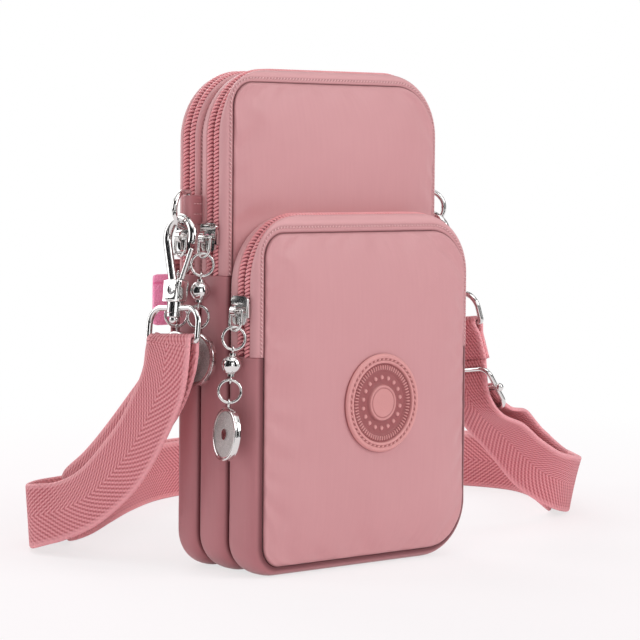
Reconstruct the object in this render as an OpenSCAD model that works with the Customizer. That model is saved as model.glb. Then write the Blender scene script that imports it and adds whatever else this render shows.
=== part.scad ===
// Phone pouch with three zipped compartments, a webbing shoulder strap and an elastic arm band.
// Millimetres. +X is the right-hand side seen from the front, +Y is the back and +Z is up.
// The origin is the middle of the base of the middle compartment, on the surface it stands on.

/* [Pouch] */
// Width of the panels from seam to seam
body_w = 102; // [92:1:116]
// Height of the tall panels from seam to seam
body_h = 177; // [165:1:195]
// Height of the front pocket's panel from seam to seam
pocket_h = 122; // [110:1:135]
// Depth of the rear compartment
rear_d = 12; // [11:0.5:15]
// Depth of the middle compartment
middle_d = 16; // [14:0.5:20]
// Depth of the front pocket
pocket_d = 18; // [16:0.5:22]
// Radius of the panels' upper corners
top_r = 22; // [18:1:26]
// Radius of the panels' lower corners
bottom_r = 18; // [14:1:22]
// How far the gussets puff out beyond the seams
puff = 4; // [3.5:0.25:5]
// How far the front panels crown forwards
panel_crown = 4; // [2.5:0.25:5]
// Thickness of the padded fabric
wall = 1.2; // [0.9:0.1:1.4]
// Thickness of the divider between the rear and middle compartments
divider_t = 1; // [0.8:0.1:1.4]

/* [Zips] */
// Height where the two tall zips end, above the base
tall_zip_end = 110; // [100:1:120]
// Height where the pocket's zip ends, above the base
pocket_zip_end = 81; // [74:1:88]
// Width of one row of zip coil
coil_w = 2.8; // [2.4:0.1:2.9]
// Height of the zip coil above its tape
coil_h = 2; // [1.6:0.1:2.2]
// Slit between the two rows that the slider's web runs in
coil_gap = 0.9; // [0.8:0.1:1.2]
// Thickness of the zip tape
tape_t = 0.6; // [0.4:0.1:0.8]
// Length of a zip slider
slider_l = 10.5; // [9:0.5:12]
// Height of the tall zips' sliders above the base
tall_slider_z = 124; // [120:1:128]
// Height of the pocket slider above the base
pocket_slider_z = 98; // [93:1:98]

/* [Patch] */
// Diameter of the round patch
patch_d = 37; // [30:1:44]
// Thickness of the patch
patch_t = 2.4; // [1.6:0.2:3]
// Height of the patch's centre above the base
patch_z = 62; // [54:1:72]

/* [Hardware] */
// Diameter of the D-rings' wire
d_wire = 2; // [1.8:0.1:2.2]
// Height of a D-ring at the middle of its wire
d_ring_h = 13; // [12:0.5:14]
// Diameter of the hooks' bow wire
bow_wire = 3.2; // [2.8:0.1:3.4]
// Radius of the hook's bow at the middle of its wire
bow_r = 7.2; // [7:0.1:7.8]
// Diameter of the swivel ring's wire
swivel_wire = 2.2; // [2:0.1:2.4]
// Diameter of a charm's coin
coin_d = 19.5; // [17:0.5:20.5]
// Diameter of a charm's bead
bead_d = 7.4; // [6.6:0.2:7.6]
// Diameter of the wire of the pulls and jump rings
link_wire = 1.1; // [0.9:0.05:1.15]

/* [Strap] */
// Width of the webbing
strap_w = 25; // [22:0.5:25]
// Thickness of the webbing
strap_t = 1.5; // [1.2:0.1:1.6]
// Width of the elastic arm band
band_w = 30; // [24:1:40]

/* [Hidden] */

satin = "#c48e90";
satin_dark = "#b27a7d";
coil_red = "#b5656b";
tape_pink = "#b8777c";
webbing_pink = "#cf8d8f";
hot_pink = "#f07fb4";
chrome = "#d5d8dc";
coin_grey = "#8f8f90";

fine = 48;          // facets of round parts
small = 24;         // facets of small round parts
cut = 1;            // overrun of a cut past a face
slab = 0.1;         // thickness of the slices that a crowned panel is hulled from

// Seams, from front to back, and the height of the lower seam
seam_z = puff;
half_w = body_w / 2;
middle_front_y = -middle_d / 2;
middle_back_y = middle_d / 2 - divider_t / 2;
rear_front_y = middle_d / 2 + divider_t / 2;
rear_back_y = middle_d / 2 + rear_d;
pocket_back_y = middle_front_y - wall;
pocket_front_y = middle_front_y - pocket_d;

// Places of the three zips, measured from each compartment's front seam
rear_zip_y = rear_front_y + 0.42 * rear_d;
middle_zip_y = middle_front_y + 0.48 * middle_d;
pocket_zip_y = pocket_front_y + 0.43 * pocket_d;

// Section of a zip, outwards from the seam line
facing_step = 0.8;                          // the facing's outer face lies this much inside the puff
facing_n = puff - facing_step;              // outer face of the facing beside the coil
tape_n = facing_n - wall;                   // outer face of the tape
coil_n = tape_n + coil_h;                   // crown of the coil
chain_half = coil_gap / 2 + coil_w;         // half the width of the two rows
tape_lap = 1.2;                             // how far the tape runs under the facing
thin_lap = 0.3;                             // the same beside the rear zip's narrow front facing
flange = 2.5;                               // seam allowance turned in against a panel
puff_power = 2.6;                           // squareness of a gusset's section
puff_steps = 11;                            // odd, so that the crown has a flat
facing_steps = 6;

// Slider sizes
slider_gap = 0.25;                          // running clearance around the coils
slider_plate = 1;
slider_rim = 1;                             // how far the outer plate reaches past the coils
slider_w = 2 * (chain_half + slider_gap + slider_rim);
slider_corner = 1.6;
web_fit = 0.2;                              // clearance of the web in the slit, each side
web_t = coil_gap - 2 * web_fit;
lip_h = 0.5;
lip_t = 0.8;
lip_edge = 0.1;                             // the lips stand this far inside the plate's edge
inner_less_w = 3;                           // how much narrower the inner plate is
inner_less_l = 1;                           // how much shorter it is
inner_corner = 1.2;
bail_r = 2.3;                               // outer radius of the slider's bail
bail_hole = 1.35;
bail_w = 2.2;
bail_rise = 1.3;                            // the bail's hole above the plate

function slider_top() = coil_n + slider_gap + slider_plate;
function hole_n() = slider_top() + bail_rise;

// Charm, measured down from the hole in the slider's bail
link_r = link_wire / 2;
link_gap = 0.25;
loop_half = 3.2;
loop_drop = 7.4;
upper_ring_r = 4.1;
lower_ring_r = 4.1;
eye_wire = 0.8;
eye_r = 1.15;
eye_pitch = link_r + eye_wire / 2 + link_gap;
upper_ring_w = -loop_drop + link_wire + link_gap - upper_ring_r;
upper_ring_low = upper_ring_w - upper_ring_r;
top_eye_w = upper_ring_low + eye_pitch - eye_r;
bead_collar_h = 0.5;
bead_collar_r = 1.5;
bead_band_h = 0.8;
bead_band_out = 0.12;
bead_w = top_eye_w - eye_r - eye_wire / 4 - bead_collar_h - bead_d / 2;
low_eye_w = 2 * bead_w - top_eye_w;
low_eye_low = low_eye_w - eye_r;
lower_ring_w = low_eye_low + eye_pitch - lower_ring_r;
lower_ring_low = lower_ring_w - lower_ring_r;
coin_eye_r = 1.5;
coin_eye_wire = 0.9;
coin_eye_w = lower_ring_low + eye_pitch - coin_eye_r;
coin_w = coin_eye_w - coin_eye_r - coin_d / 2;
coin_t = 2;
bezel = 1.4;
coin_stud_r = 2;
coin_stud_up = 0.1;
rear_lean = 5.2;                            // degrees that a charm stands off the side
middle_lean = 6.2;
pocket_lean = 5.5;
ring_turn = 48;                             // degrees from the side to the jump rings' plane
middle_ring_turn = 28;                      // the same of the middle charm's lower ring, beside the hook
pocket_coin_turn = 15;                      // degrees that a coin faces backwards
middle_coin_turn = 0;
rear_coin_turn = 0;
rear_tuck = 10.5;                           // degrees that the rear charm's lower half hangs in
middle_swing = 5;                           // degrees that the middle charm's lower half hangs forwards

// D-rings: the bar is upright in its tab, the bow of the D points out and forwards
d_r = d_wire / 2;
d_bow_r = d_ring_h / 2;
d_arm = 3.5;
d_bar_x = half_w + 8;
d_bar_y = middle_d / 2 - 0.5;
d_bar_z = 134;
left_d_turn = 20;
right_d_turn = 38;
tab_end_gap = 0.2;
tab_h = d_ring_h - d_wire - 2 * tab_end_gap;
tab_leaf = 0.8;
tab_fit = 0.15;
tab_root_less = 0.2;                        // the tab's root is this much thinner than the divider
tab_flare = 2;                              // where the root opens to the two leaves
tab_flare_front = 0.8;                      // how far forward of the divider's middle it opens
tab_blend = 0.2;

// Hooks, measured down from the D-ring's wire that they hang on
hook_at = 5.4;                              // place on the D-ring, from its bar
hook_gap = 0.6;
bow_top = d_r + hook_gap + bow_wire / 2;
bow_w = bow_top - bow_r;
nose_turn = 16;
limb_turn = 18;                             // lean of the hook's shank
block_top = -20;
block_low = -27.6;
block_w = 7.8;
block_t = 5.2;
shank_seat = 1;                             // how far the shank runs into its block
block_y = 0.4;                              // middle of the block, behind the stud's axis
slot_w = 2.2;
slot_back = 0.9;                            // back wall of the gate's slot
rivet_w = -22.6;
rivet_y = -1.3;
rivet_r = 0.9;
rivet_head = 0.5;
rivet_head_out = 0.6;
hub_r = 1.9;
hub_t = 1.1;
hub_room = 0.5;                             // room in the slot below the hub
side_gap = 0.1;                             // room beside the hub and beside the spring
gate_r = 0.95;
gate_start = 1.4;                           // where the gate's wire leaves its hub
gate_gap = 0.25;                            // between the gate's tip and the bow's nose
spring_fit = 0.1;
spring_t = 0.5;
spring_wall = 0.35;
fit = 0.06;                                 // radial clearance of a running fit
stud_r = 1.6;
collar_r = 3;
collar_gap = 0.3;
collar_top = block_low - collar_gap;
collar_h = 3.8;
collar_low = collar_top - collar_h;
head_gap = 0.2;
stud_head_t = 1.3;
stud_head_r = 2.9;
ball_r = 1.9;
swivel_half = 14;
swivel_top_drop = 2;                        // the ring's top wire below the collar's top
swivel_top = collar_top - swivel_top_drop;
swivel_bar = -42;
swivel_top_r = 6;
swivel_low_r = 1.5;
left_lean = [-3, 7.5, 0];
right_lean = [-6, -14.5, 0];

// Strap slider
glide_w = 29;
glide_h = 18;
glide_wire = 2;
glide_r = 4;
glide_at = [80, -3, 61];
glide_turn = [-8, -30, 0];
glide_ball = 1.6;
bar_seat = 0.4;                             // how far the slider's bar is let into its frame

// Routes of the webbing. Each point is a place and the direction of the webbing's width.
// Outer leaf, from the left swivel ring round behind the pouch and through the strap slider
outer_route = [
    [-71.5, 3.4, 86.2, 0, -10, 0.5], [-71.6, 4.2, 80, 0, -10, -1], [-70.3, 8.5, 69.5, 0, -10, -3],
    [-70, 17, 56.5, 0, -10, -3], [-70, 27, 44, 0, -10, -3], [-70, 39, 33.5, 0, -9, -3],
    [-71, 53, 23.5, -1, -8, -5], [-73, 68, 17, -2, -7, -7], [-75, 84, 13.5, -1, -3, -9],
    [-60, 100, 12.6, 0, 0, -10], [-36, 109, 12.6, 0, 0, -10], [-8, 132, 12.6, 0, 0, -10],
    [22, 157, 12.6, 0, 0, -10], [54, 178, 12.6, 0, 0, -10], [87, 187, 12.6, 0, 0, -10],
    [120, 187, 12.6, 0, 0, -10], [152, 179, 12.6, 0, 0, -10], [182, 160, 12.6, 0, 0, -10],
    [206, 132, 12.6, 0, 0, -10], [214, 98, 12.6, 0, 0, -10], [202, 68, 12.6, 0, 0, -10],
    [186, 43, 12.6, 0, 1, -10], [169, 23, 13.2, -1, 2, -10], [149, 11, 17, -2, 4, -9],
    [131, 7, 23.5, -1, 7, -7], [115, 4, 33, 1, 8, -5], [100, 1, 42.5, 1, 9, -4],
    [82.5, -4.3, 52.1, 1, 10, -1], [78, -3, 59.9, 1, 10, -1], [77.6, -1.8, 69.9, 1, 10, -1],
    [77.2, -1.3, 73.1, 0.3, 10, -1]
];
// Inner leaf, from the left swivel ring inside the outer one to the strap slider's bar
inner_route = [
    [-67.6, 3.4, 85.7, 0, -10, 0.5], [-67, 5.5, 79, 0, -10, -2], [-65.5, 14, 67, 0, -9, -4],
    [-64.5, 28, 54, 0, -9, -5], [-63, 44, 41, 0, -8, -6], [-62, 60, 30, -1, -7, -7],
    [-61, 76, 20, -1, -5, -9], [-52, 91, 13.5, -1, -2, -10], [-32, 103, 12.6, 0, 0, -10],
    [-4, 126, 12.6, 0, 0, -10], [26, 150, 12.6, 0, 0, -10], [57, 170, 12.6, 0, 0, -10],
    [88, 179, 12.6, 0, 0, -10], [119, 179, 12.6, 0, 0, -10], [149, 171, 12.6, 0, 0, -10],
    [177, 153, 12.6, 0, 0, -10], [198, 128, 12.6, 0, 0, -10], [206, 98, 12.6, 0, 0, -10],
    [195, 71, 12.6, 0, 0, -10], [180, 48, 12.6, 0, 1, -10], [164, 29, 13.4, -1, 2, -10],
    [147.6, 16, 19, -2, 4, -9], [132, 11, 27.5, -1, 7, -7], [117.6, 6.5, 37.5, 1, 8, -5],
    [103, 2.5, 47.5, 1, 9, -4], [86.4, -4.3, 54.9, 1, 10, -1], [80.9, -3, 61.9, 1, 10, -1]
];

// Arm band: elastic across the back panel, with the hook-and-loop tab past its left end
band_z = 100;
band_t = 1.6;
band_gap = 0.6;
band_over = 2;                              // how far the band runs past each seam
tab_out = 11;
band_tab_w = 19;

// Points of a quarter or half puff: a rounded, squarish arch from one seam towards the other
function arch(a, power) = pow(abs(a), 2 / power) * sign(a);
function crown_scale(steps, power) = arch(cos(90 / steps), power);
function half_arch(half, high, steps, power, s = 1) = [
    for (i = [0 : steps])
        let (t = 180 * i / steps)
        [
            i == 0 || i == steps ? 0 : high * min(1, arch(sin(t), power) / crown_scale(steps, power)),
            -s * half * arch(cos(t), power)
        ]
];
function quarter_arch(span, high, steps) = [
    for (i = [0 : steps])
        let (t = 90 * i / steps)
        [high * sin(t), span * (1 - cos(t))]
];
function reversed(list) = [for (i = [len(list) - 1 : -1 : 0]) list[i]];

// Section of a gusset band between two seams: an arch with its seam allowances turned in
function gusset_section(y0, y1) =
    let (
        half = (y1 - y0) / 2,
        mid = (y0 + y1) / 2,
        outer = half_arch(half, puff, puff_steps, puff_power),
        inner = half_arch(half - wall, puff - wall, puff_steps, puff_power)
    )
    concat(
        [[-flange, -half]],
        outer,
        [[-flange, half], [-flange, half - wall]],
        reversed(inner),
        [[-flange, -half + wall]]
    );
function shifted(section, y) = [for (p = section) [p[0], p[1] + y]];
function mirrored(section) = [for (p = section) [p[0], -p[1]]];

// Section of the fabric strip between a seam and the zip's coil
function facing_section(span, lap) =
    let (
        outer = quarter_arch(span, facing_n, facing_steps),
        inner = quarter_arch(span - wall - lap, tape_n, facing_steps)
    )
    concat(
        [[-flange, 0]],
        outer,
        [[tape_n, span]],
        reversed([for (p = inner) [p[0], p[1] + wall]]),
        [[-flange, wall]]
    );

// A section given as [out from the seam, depth] is carried round the seam line
module side_run(section, z0, z1) {
    translate([half_w, 0, z0]) linear_extrude(z1 - z0) polygon(section);
}
module both_sides(section, z0, z1) {
    side_run(section, z0, z1);
    mirror([1, 0, 0]) side_run(section, z0, z1);
}
module across(section, r, z, up) {
    translate([half_w - r, 0, z]) mirror([0, 0, up ? 0 : 1])
        rotate([0, -90, 0]) linear_extrude(body_w - 2 * r) polygon(section);
}
module corner(section, r, z, up) {
    translate([half_w - r, 0, z]) mirror([0, 0, up ? 1 : 0]) rotate([-90, 0, 0])
        rotate_extrude(angle = 90, $fn = 2 * fine)
            polygon([for (p = section) [p[0] + r, p[1]]]);
}
module both_corners(section, r, z, up) {
    corner(section, r, z, up);
    mirror([1, 0, 0]) corner(section, r, z, up);
}
module over_top(section, z_end, high) {
    top_z = seam_z + high;
    both_sides(section, z_end, top_z - top_r);
    both_corners(section, top_r, top_z - top_r, true);
    across(section, top_r, top_z, true);
}
module under_base(section, z_end) {
    both_sides(section, seam_z + bottom_r, z_end);
    both_corners(section, bottom_r, seam_z + bottom_r, false);
    across(section, bottom_r, seam_z, false);
}

// Outline of a panel, seam to seam, drawn in XZ and pushed back along Y
module outline(high, inset) {
    w = body_w - 2 * inset;
    h = high - 2 * inset;
    tr = max(top_r - inset, wall);
    br = max(bottom_r - inset, wall);
    translate([0, seam_z + inset]) union() {
        translate([-w / 2, br]) square([w, h - br - tr]);
        translate([-w / 2 + br, 0]) square([w - 2 * br, br + cut]);
        translate([-w / 2 + tr, h - tr - cut]) square([w - 2 * tr, tr + cut]);
        for (s = [-1, 1]) {
            translate([s * (w / 2 - br), br]) circle(br, $fn = 2 * fine);
            translate([s * (w / 2 - tr), h - tr]) circle(tr, $fn = 2 * fine);
        }
    }
}
module plate(high, inset, y0, y1) {
    translate([0, y1, 0]) rotate([90, 0, 0]) linear_extrude(y1 - y0) outline(high, inset);
}
module slice(high, inset) {
    w = body_w - 2 * inset;
    h = high - 2 * inset;
    tr = max(top_r - inset, wall);
    br = max(bottom_r - inset, wall);
    translate([0, 0, seam_z + inset]) rotate([90, 0, 0]) linear_extrude(slab) hull() {
        for (s = [-1, 1]) {
            translate([s * (w / 2 - br), br]) circle(br, $fn = fine);
            translate([s * (w / 2 - tr), h - tr]) circle(tr, $fn = fine);
        }
    }
}
// A crowned cushion of fabric: full inside its seams, with rounded shoulders
crown_steps = 4;
crown_edge = 11;
back_less = 1;                              // the back crowns less than the front
back_crown = panel_crown - back_less;
pocket_room = 0.3;                          // room between the pocket and the main panel's crown
module cushion(high, crown, start) {
    hull() for (i = [0 : crown_steps]) {
        t = 90 * i / crown_steps;
        translate([0, -(crown - slab) * sin(t), 0])
            slice(high, start + crown_edge * (1 - cos(t)));
    }
}
module crowned_panel(high, crown) {
    difference() {
        cushion(high, crown, 0);
        translate([0, cut, 0]) cushion(high, crown + cut - wall, flange + wall);
    }
}

// Panels
module back_panel() {
    color(satin) translate([0, rear_back_y, 0]) mirror([0, 1, 0])
        crowned_panel(body_h, back_crown);
}
module divider_panel() {
    color(satin_dark) plate(body_h, 0, middle_back_y, rear_front_y);
}
module pocket_space(gap) {
    translate([0, middle_front_y - wall, 0]) rotate([90, 0, 0])
        linear_extrude(pocket_d) outline(pocket_h, -puff - gap);
}
module main_front_panel() {
    color(satin) {
        plate(body_h, 0, middle_front_y - wall, middle_front_y);
        difference() {
            translate([0, middle_front_y - wall / 2, 0]) cushion(body_h, panel_crown, 0);
            pocket_space(pocket_room);
        }
    }
}
module pocket_front_panel() {
    color(satin) translate([0, pocket_front_y, 0]) crowned_panel(pocket_h, panel_crown);
}

// Round patch of soft plastic: a rim, a recessed ring, a ring of short ribs and a raised centre
patch_x = 3;
patch_y = pocket_front_y - panel_crown;
rib_count = 36;
rib_w = 0.8;
patch_step_share = [0.9, 0.78, 0.62, 0.34];
module patch_rib(a) {
    rotate([0, 0, a]) translate([patch_d / 2 * patch_step_share[2], -rib_w / 2, 0])
        cube([patch_d / 2 * (patch_step_share[1] - patch_step_share[2]), rib_w, patch_t]);
}
module pocket_patch() {
    r = patch_d / 2;
    color(satin_dark) translate([patch_x, patch_y, patch_z]) rotate([90, 0, 0]) {
        difference() {
            cylinder(h = patch_t, r = r, $fn = 2 * fine);
            translate([0, 0, patch_t * 0.6])
                cylinder(h = patch_t, r = r * patch_step_share[0], $fn = 2 * fine);
        }
        for (i = [0 : rib_count - 1]) patch_rib(360 * i / rib_count);
        cylinder(h = patch_t, r = r * patch_step_share[3], $fn = fine);
    }
}

// Gussets below the zips
module gusset(y0, y1, z_end) {
    color(satin_dark)
        under_base(shifted(gusset_section(y0, y1), (y0 + y1) / 2), z_end);
}
module rear_gusset() { gusset(rear_front_y, rear_back_y, tall_zip_end); }
module middle_gusset() { gusset(middle_front_y, middle_back_y, tall_zip_end); }
module pocket_gusset() { gusset(pocket_front_y, pocket_back_y, pocket_zip_end); }

// Fabric facings on both sides of a zip
module zip_facing(y0, y1, zip_y, z_end, high, front_lap) {
    front_span = zip_y - chain_half - y0;
    back_span = y1 - zip_y - chain_half;
    color(satin) {
        over_top(shifted(facing_section(front_span, front_lap), y0), z_end, high);
        over_top(shifted(mirrored(facing_section(back_span, tape_lap)), y1), z_end, high);
    }
}
module rear_zip_facing() {
    zip_facing(rear_front_y, rear_back_y, rear_zip_y, tall_zip_end, body_h, thin_lap);
}
module middle_zip_facing() {
    zip_facing(middle_front_y, middle_back_y, middle_zip_y, tall_zip_end, body_h, tape_lap);
}
module pocket_zip_facing() {
    zip_facing(pocket_front_y, pocket_back_y, pocket_zip_y, pocket_zip_end, pocket_h, tape_lap);
}

// Zip tapes, one on each side of the slit, and the coils on them
module zip_tape(zip_y, front_lap, z_end, high) {
    color(tape_pink) for (s = [-1, 1]) {
        edge = chain_half + (s < 0 ? front_lap : tape_lap);
        section = [
            [tape_n - tape_t, zip_y + s * coil_gap / 2], [tape_n, zip_y + s * coil_gap / 2],
            [tape_n, zip_y + s * edge], [tape_n - tape_t, zip_y + s * edge]
        ];
        over_top(section, z_end, high);
    }
}
module rear_zip_tape() {
    zip_tape(rear_zip_y, thin_lap, tall_zip_end, body_h);
}
module middle_zip_tape() {
    zip_tape(middle_zip_y, tape_lap, tall_zip_end, body_h);
}
module pocket_zip_tape() {
    zip_tape(pocket_zip_y, tape_lap, pocket_zip_end, pocket_h);
}
module zip_coils(zip_y, z_end, high) {
    steps = 8;
    color(coil_red) for (s = [-1, 1]) {
        row = zip_y + s * (coil_gap / 2 + coil_w / 2);
        section = [
            for (i = [0 : steps])
                let (t = 180 * i / steps)
                [tape_n + coil_h * sin(t), row - coil_w / 2 * cos(t)]
        ];
        over_top(section, z_end, high);
    }
}
module rear_zip_coils() { zip_coils(rear_zip_y, tall_zip_end, body_h); }
module middle_zip_coils() { zip_coils(middle_zip_y, tall_zip_end, body_h); }
module pocket_zip_coils() { zip_coils(pocket_zip_y, pocket_zip_end, pocket_h); }

// Zip slider on the left-hand run: outer plate with lips, web in the slit, inner plate and bail.
// Drawn with +X out from the seam line, at the height of the slider's middle.
module slider_outline(w, l, r) {
    hull() {
        for (s = [-1, 1]) {
            translate([s * (w / 2 - r), l / 2 - r]) circle(r, $fn = 32);
            translate([s * (w / 2 - 1.5 * r), r - l / 2]) circle(r, $fn = 32);
        }
    }
}
module zip_slider() {
    plate_n = coil_n + slider_gap;
    lip_n = plate_n - lip_h;
    inner_n = tape_n - tape_t - slider_gap - slider_plate;
    color(chrome) {
        translate([plate_n, 0, 0]) rotate([90, 0, 90])
            linear_extrude(slider_plate) slider_outline(slider_w, slider_l, slider_corner);
        for (s = [-1, 1])
            translate([lip_n, s * (slider_w / 2 - lip_edge - lip_t / 2) - lip_t / 2, -slider_l / 4])
                cube([lip_h + slider_plate / 2, lip_t, slider_l / 2]);
        translate([inner_n, -web_t / 2, -slider_l / 4])
            cube([plate_n - inner_n + slider_plate / 2, web_t, slider_l / 3]);
        translate([inner_n, 0, 0]) rotate([90, 0, 90])
            linear_extrude(slider_plate)
                slider_outline(slider_w - inner_less_w, slider_l - inner_less_l, inner_corner);
        translate([hole_n(), bail_w / 2, 0]) rotate([90, 0, 0]) difference() {
            union() {
                cylinder(h = bail_w, r = bail_r, $fn = fine);
                translate([slider_top() - hole_n() - slider_plate / 2, -bail_r, 0])
                    cube([hole_n() - slider_top() + slider_plate / 2, 2 * bail_r, bail_w]);
            }
            translate([0, 0, -cut]) cylinder(h = bail_w + 2 * cut, r = bail_hole, $fn = fine);
        }
    }
}
module on_left(zip_y, z) { translate([-half_w, zip_y, z]) mirror([1, 0, 0]) children(); }
module rear_zip_slider() { on_left(rear_zip_y, tall_slider_z) zip_slider(); }
module middle_zip_slider() { on_left(middle_zip_y, tall_slider_z) zip_slider(); }
module pocket_zip_slider() { on_left(pocket_zip_y, pocket_slider_z) zip_slider(); }

// Round wire in an XZ ring, and wire between two points
module wire_ring(r, wire) {
    rotate([90, 0, 0]) rotate_extrude($fn = fine) translate([r, 0]) circle(wire / 2, $fn = small);
}
module wire_arc(r, wire, from, turn) {
    rotate([90, 0, 0]) rotate([0, 0, from]) rotate_extrude(angle = turn, $fn = fine)
        translate([r, 0]) circle(wire / 2, $fn = small);
}
module rod(a, b, wire) {
    d = b - a;
    flat = norm([d[0], d[1]]);
    translate(a) rotate([0, atan2(flat, d[2]), atan2(d[1], d[0])])
        cylinder(h = norm(d), r = wire / 2, $fn = small);
}

// Charm pieces hang from the hole in a slider's bail. Their own X points out of the pouch's side.
module pull_loop() {
    straight = loop_drop - 2 * loop_half + loop_half;
    color(chrome) rotate([0, 0, 90]) {
        rod([-loop_half, 0, 0], [loop_half, 0, 0], link_wire);
        for (s = [-1, 1]) {
            translate([s * loop_half, 0, 0]) sphere(link_r, $fn = small);
            rod([s * loop_half, 0, 0], [s * loop_half, 0, loop_half - loop_drop], link_wire);
        }
        translate([0, 0, loop_half - loop_drop]) wire_arc(loop_half, link_wire, 180, 180);
    }
}
module jump_ring(r, w, turn = ring_turn) {
    color(chrome) translate([0, 0, w]) rotate([0, 0, 90 - turn]) wire_ring(r, link_wire);
}
module bead(turn = ring_turn) {
    color(chrome) rotate([0, 0, 180 - turn]) {
        translate([0, 0, top_eye_w]) wire_ring(eye_r, eye_wire);
        translate([0, 0, low_eye_w]) wire_ring(eye_r, eye_wire);
        translate([0, 0, bead_w]) {
            sphere(bead_d / 2, $fn = fine);
            translate([0, 0, -bead_d / 2 - bead_collar_h])
                cylinder(h = bead_d + 2 * bead_collar_h, r = bead_collar_r, $fn = small);
            translate([0, 0, -bead_band_h / 2])
                cylinder(h = bead_band_h, r = bead_d / 2 + bead_band_out, $fn = fine);
        }
    }
}
module coin(coin_turn, turn = ring_turn) {
    r = coin_d / 2;
    color(chrome) rotate([0, 0, 180 - turn]) translate([0, 0, coin_eye_w])
        wire_ring(coin_eye_r, coin_eye_wire);
    translate([0, 0, coin_w]) rotate([0, 90, coin_turn]) {
        color(chrome) difference() {
            translate([0, 0, -coin_t / 2]) cylinder(h = coin_t, r = r, $fn = fine);
            for (s = [0, 1]) mirror([0, 0, s])
                translate([0, 0, coin_t / 4]) cylinder(h = coin_t, r = r - bezel, $fn = fine);
        }
        color(coin_grey) cylinder(h = coin_t / 2 + coin_stud_up, r = coin_stud_r, $fn = small);
    }
}
module charm_at(zip_y, z, lean) {
    translate([-half_w - hole_n(), zip_y, z]) rotate([0, lean, 0]) mirror([1, 0, 0]) children();
}
module rear_charm() { charm_at(rear_zip_y, tall_slider_z, rear_lean) children(); }
module rear_charm_low() {
    rear_charm() translate([0, 0, low_eye_low]) rotate([0, rear_tuck, 0])
        translate([0, 0, -low_eye_low]) children();
}
module middle_charm() { charm_at(middle_zip_y, tall_slider_z, middle_lean) children(); }
module middle_charm_low() {
    middle_charm() translate([0, 0, low_eye_low]) rotate([-middle_swing, 0, 0])
        translate([0, 0, -low_eye_low]) children();
}
module pocket_charm() { charm_at(pocket_zip_y, pocket_slider_z, pocket_lean) children(); }
module rear_pull_loop() { rear_charm() pull_loop(); }
module rear_upper_ring() { rear_charm() jump_ring(upper_ring_r, upper_ring_w); }
module rear_bead() { rear_charm() bead(); }
module rear_lower_ring() { rear_charm_low() jump_ring(lower_ring_r, lower_ring_w); }
module rear_coin() { rear_charm_low() coin(rear_coin_turn); }
module middle_pull_loop() { middle_charm() pull_loop(); }
module middle_upper_ring() { middle_charm() jump_ring(upper_ring_r, upper_ring_w); }
module middle_bead() { middle_charm() bead((ring_turn + middle_ring_turn) / 2); }
module middle_lower_ring() {
    middle_charm_low() jump_ring(lower_ring_r, lower_ring_w, middle_ring_turn);
}
module middle_coin() { middle_charm_low() coin(middle_coin_turn, middle_ring_turn); }
module pocket_pull_loop() { pocket_charm() pull_loop(); }
module pocket_upper_ring() { pocket_charm() jump_ring(upper_ring_r, upper_ring_w); }
module pocket_bead() { pocket_charm() bead(); }
module pocket_lower_ring() { pocket_charm() jump_ring(lower_ring_r, lower_ring_w); }
module pocket_coin() { pocket_charm() coin(pocket_coin_turn); }

// Fabric tab that grows out of the seam and folds round the D-ring's bar.
// Drawn on the right-hand side.
module ring_tab() {
    eye_out = d_r + tab_fit + tab_leaf;
    root_y = middle_d / 2 - d_bar_y;
    root = (divider_t - tab_root_less) / 2;
    flare_x = half_w + tab_flare;
    blend_y = eye_out - tab_blend;
    color(satin_dark) translate([0, d_bar_y, d_bar_z - tab_h / 2]) linear_extrude(tab_h) difference() {
        union() {
            translate([d_bar_x, 0]) circle(eye_out, $fn = fine);
            polygon([
                [half_w, root_y - root], [flare_x, root_y - tab_flare_front], [d_bar_x, -blend_y],
                [d_bar_x, blend_y], [flare_x, root_y + root], [half_w, root_y + root]
            ]);
        }
        translate([d_bar_x, 0]) circle(d_r + tab_fit, $fn = fine);
    }
}
module left_ring_tab() { mirror([1, 0, 0]) ring_tab(); }
module right_ring_tab() { ring_tab(); }

// D-ring with its bar on the Z axis and its bow towards +X
module d_ring() {
    color(chrome) {
        rod([0, 0, -d_bow_r], [0, 0, d_bow_r], d_wire);
        for (s = [-1, 1]) {
            translate([0, 0, s * d_bow_r]) sphere(d_r, $fn = small);
            rod([0, 0, s * d_bow_r], [d_arm, 0, s * d_bow_r], d_wire);
        }
        translate([d_arm, 0, 0]) wire_arc(d_bow_r, d_wire, -90, 180);
    }
}
module left_d_ring() {
    translate([-d_bar_x, d_bar_y, d_bar_z]) rotate([0, 0, 180 + left_d_turn]) d_ring();
}
module right_d_ring() {
    translate([d_bar_x, d_bar_y, d_bar_z]) rotate([0, 0, -right_d_turn]) d_ring();
}

// Hook: the bow lies in the YZ plane, and the D-ring's wire passes it at the origin
module hook_bow() {
    shank_y = bow_r * cos(limb_turn);
    shank_w = bow_w - bow_r * sin(limb_turn);
    foot_w = block_top - shank_seat;
    foot_y = shank_y - (shank_w - foot_w) * tan(limb_turn);
    translate([0, 0, bow_w]) rotate([0, 0, 90])
        wire_arc(bow_r, bow_wire, -limb_turn, 180 + limb_turn + nose_turn);
    rod([0, shank_y, shank_w], [0, foot_y, foot_w], bow_wire);
}
module hook_block() {
    slot_low = rivet_w - hub_r - hub_room;
    difference() {
        translate([-block_t / 2, block_y - block_w / 2, block_low])
            cube([block_t, block_w, block_top - block_low]);
        translate([-slot_w / 2, block_y - block_w, slot_low])
            cube([slot_w, slot_back - block_y + block_w, block_top - slot_low + cut]);
        translate([-block_t, rivet_y, rivet_w]) rotate([0, 90, 0])
            cylinder(h = 2 * block_t, r = rivet_r, $fn = small);
    }
}
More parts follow.
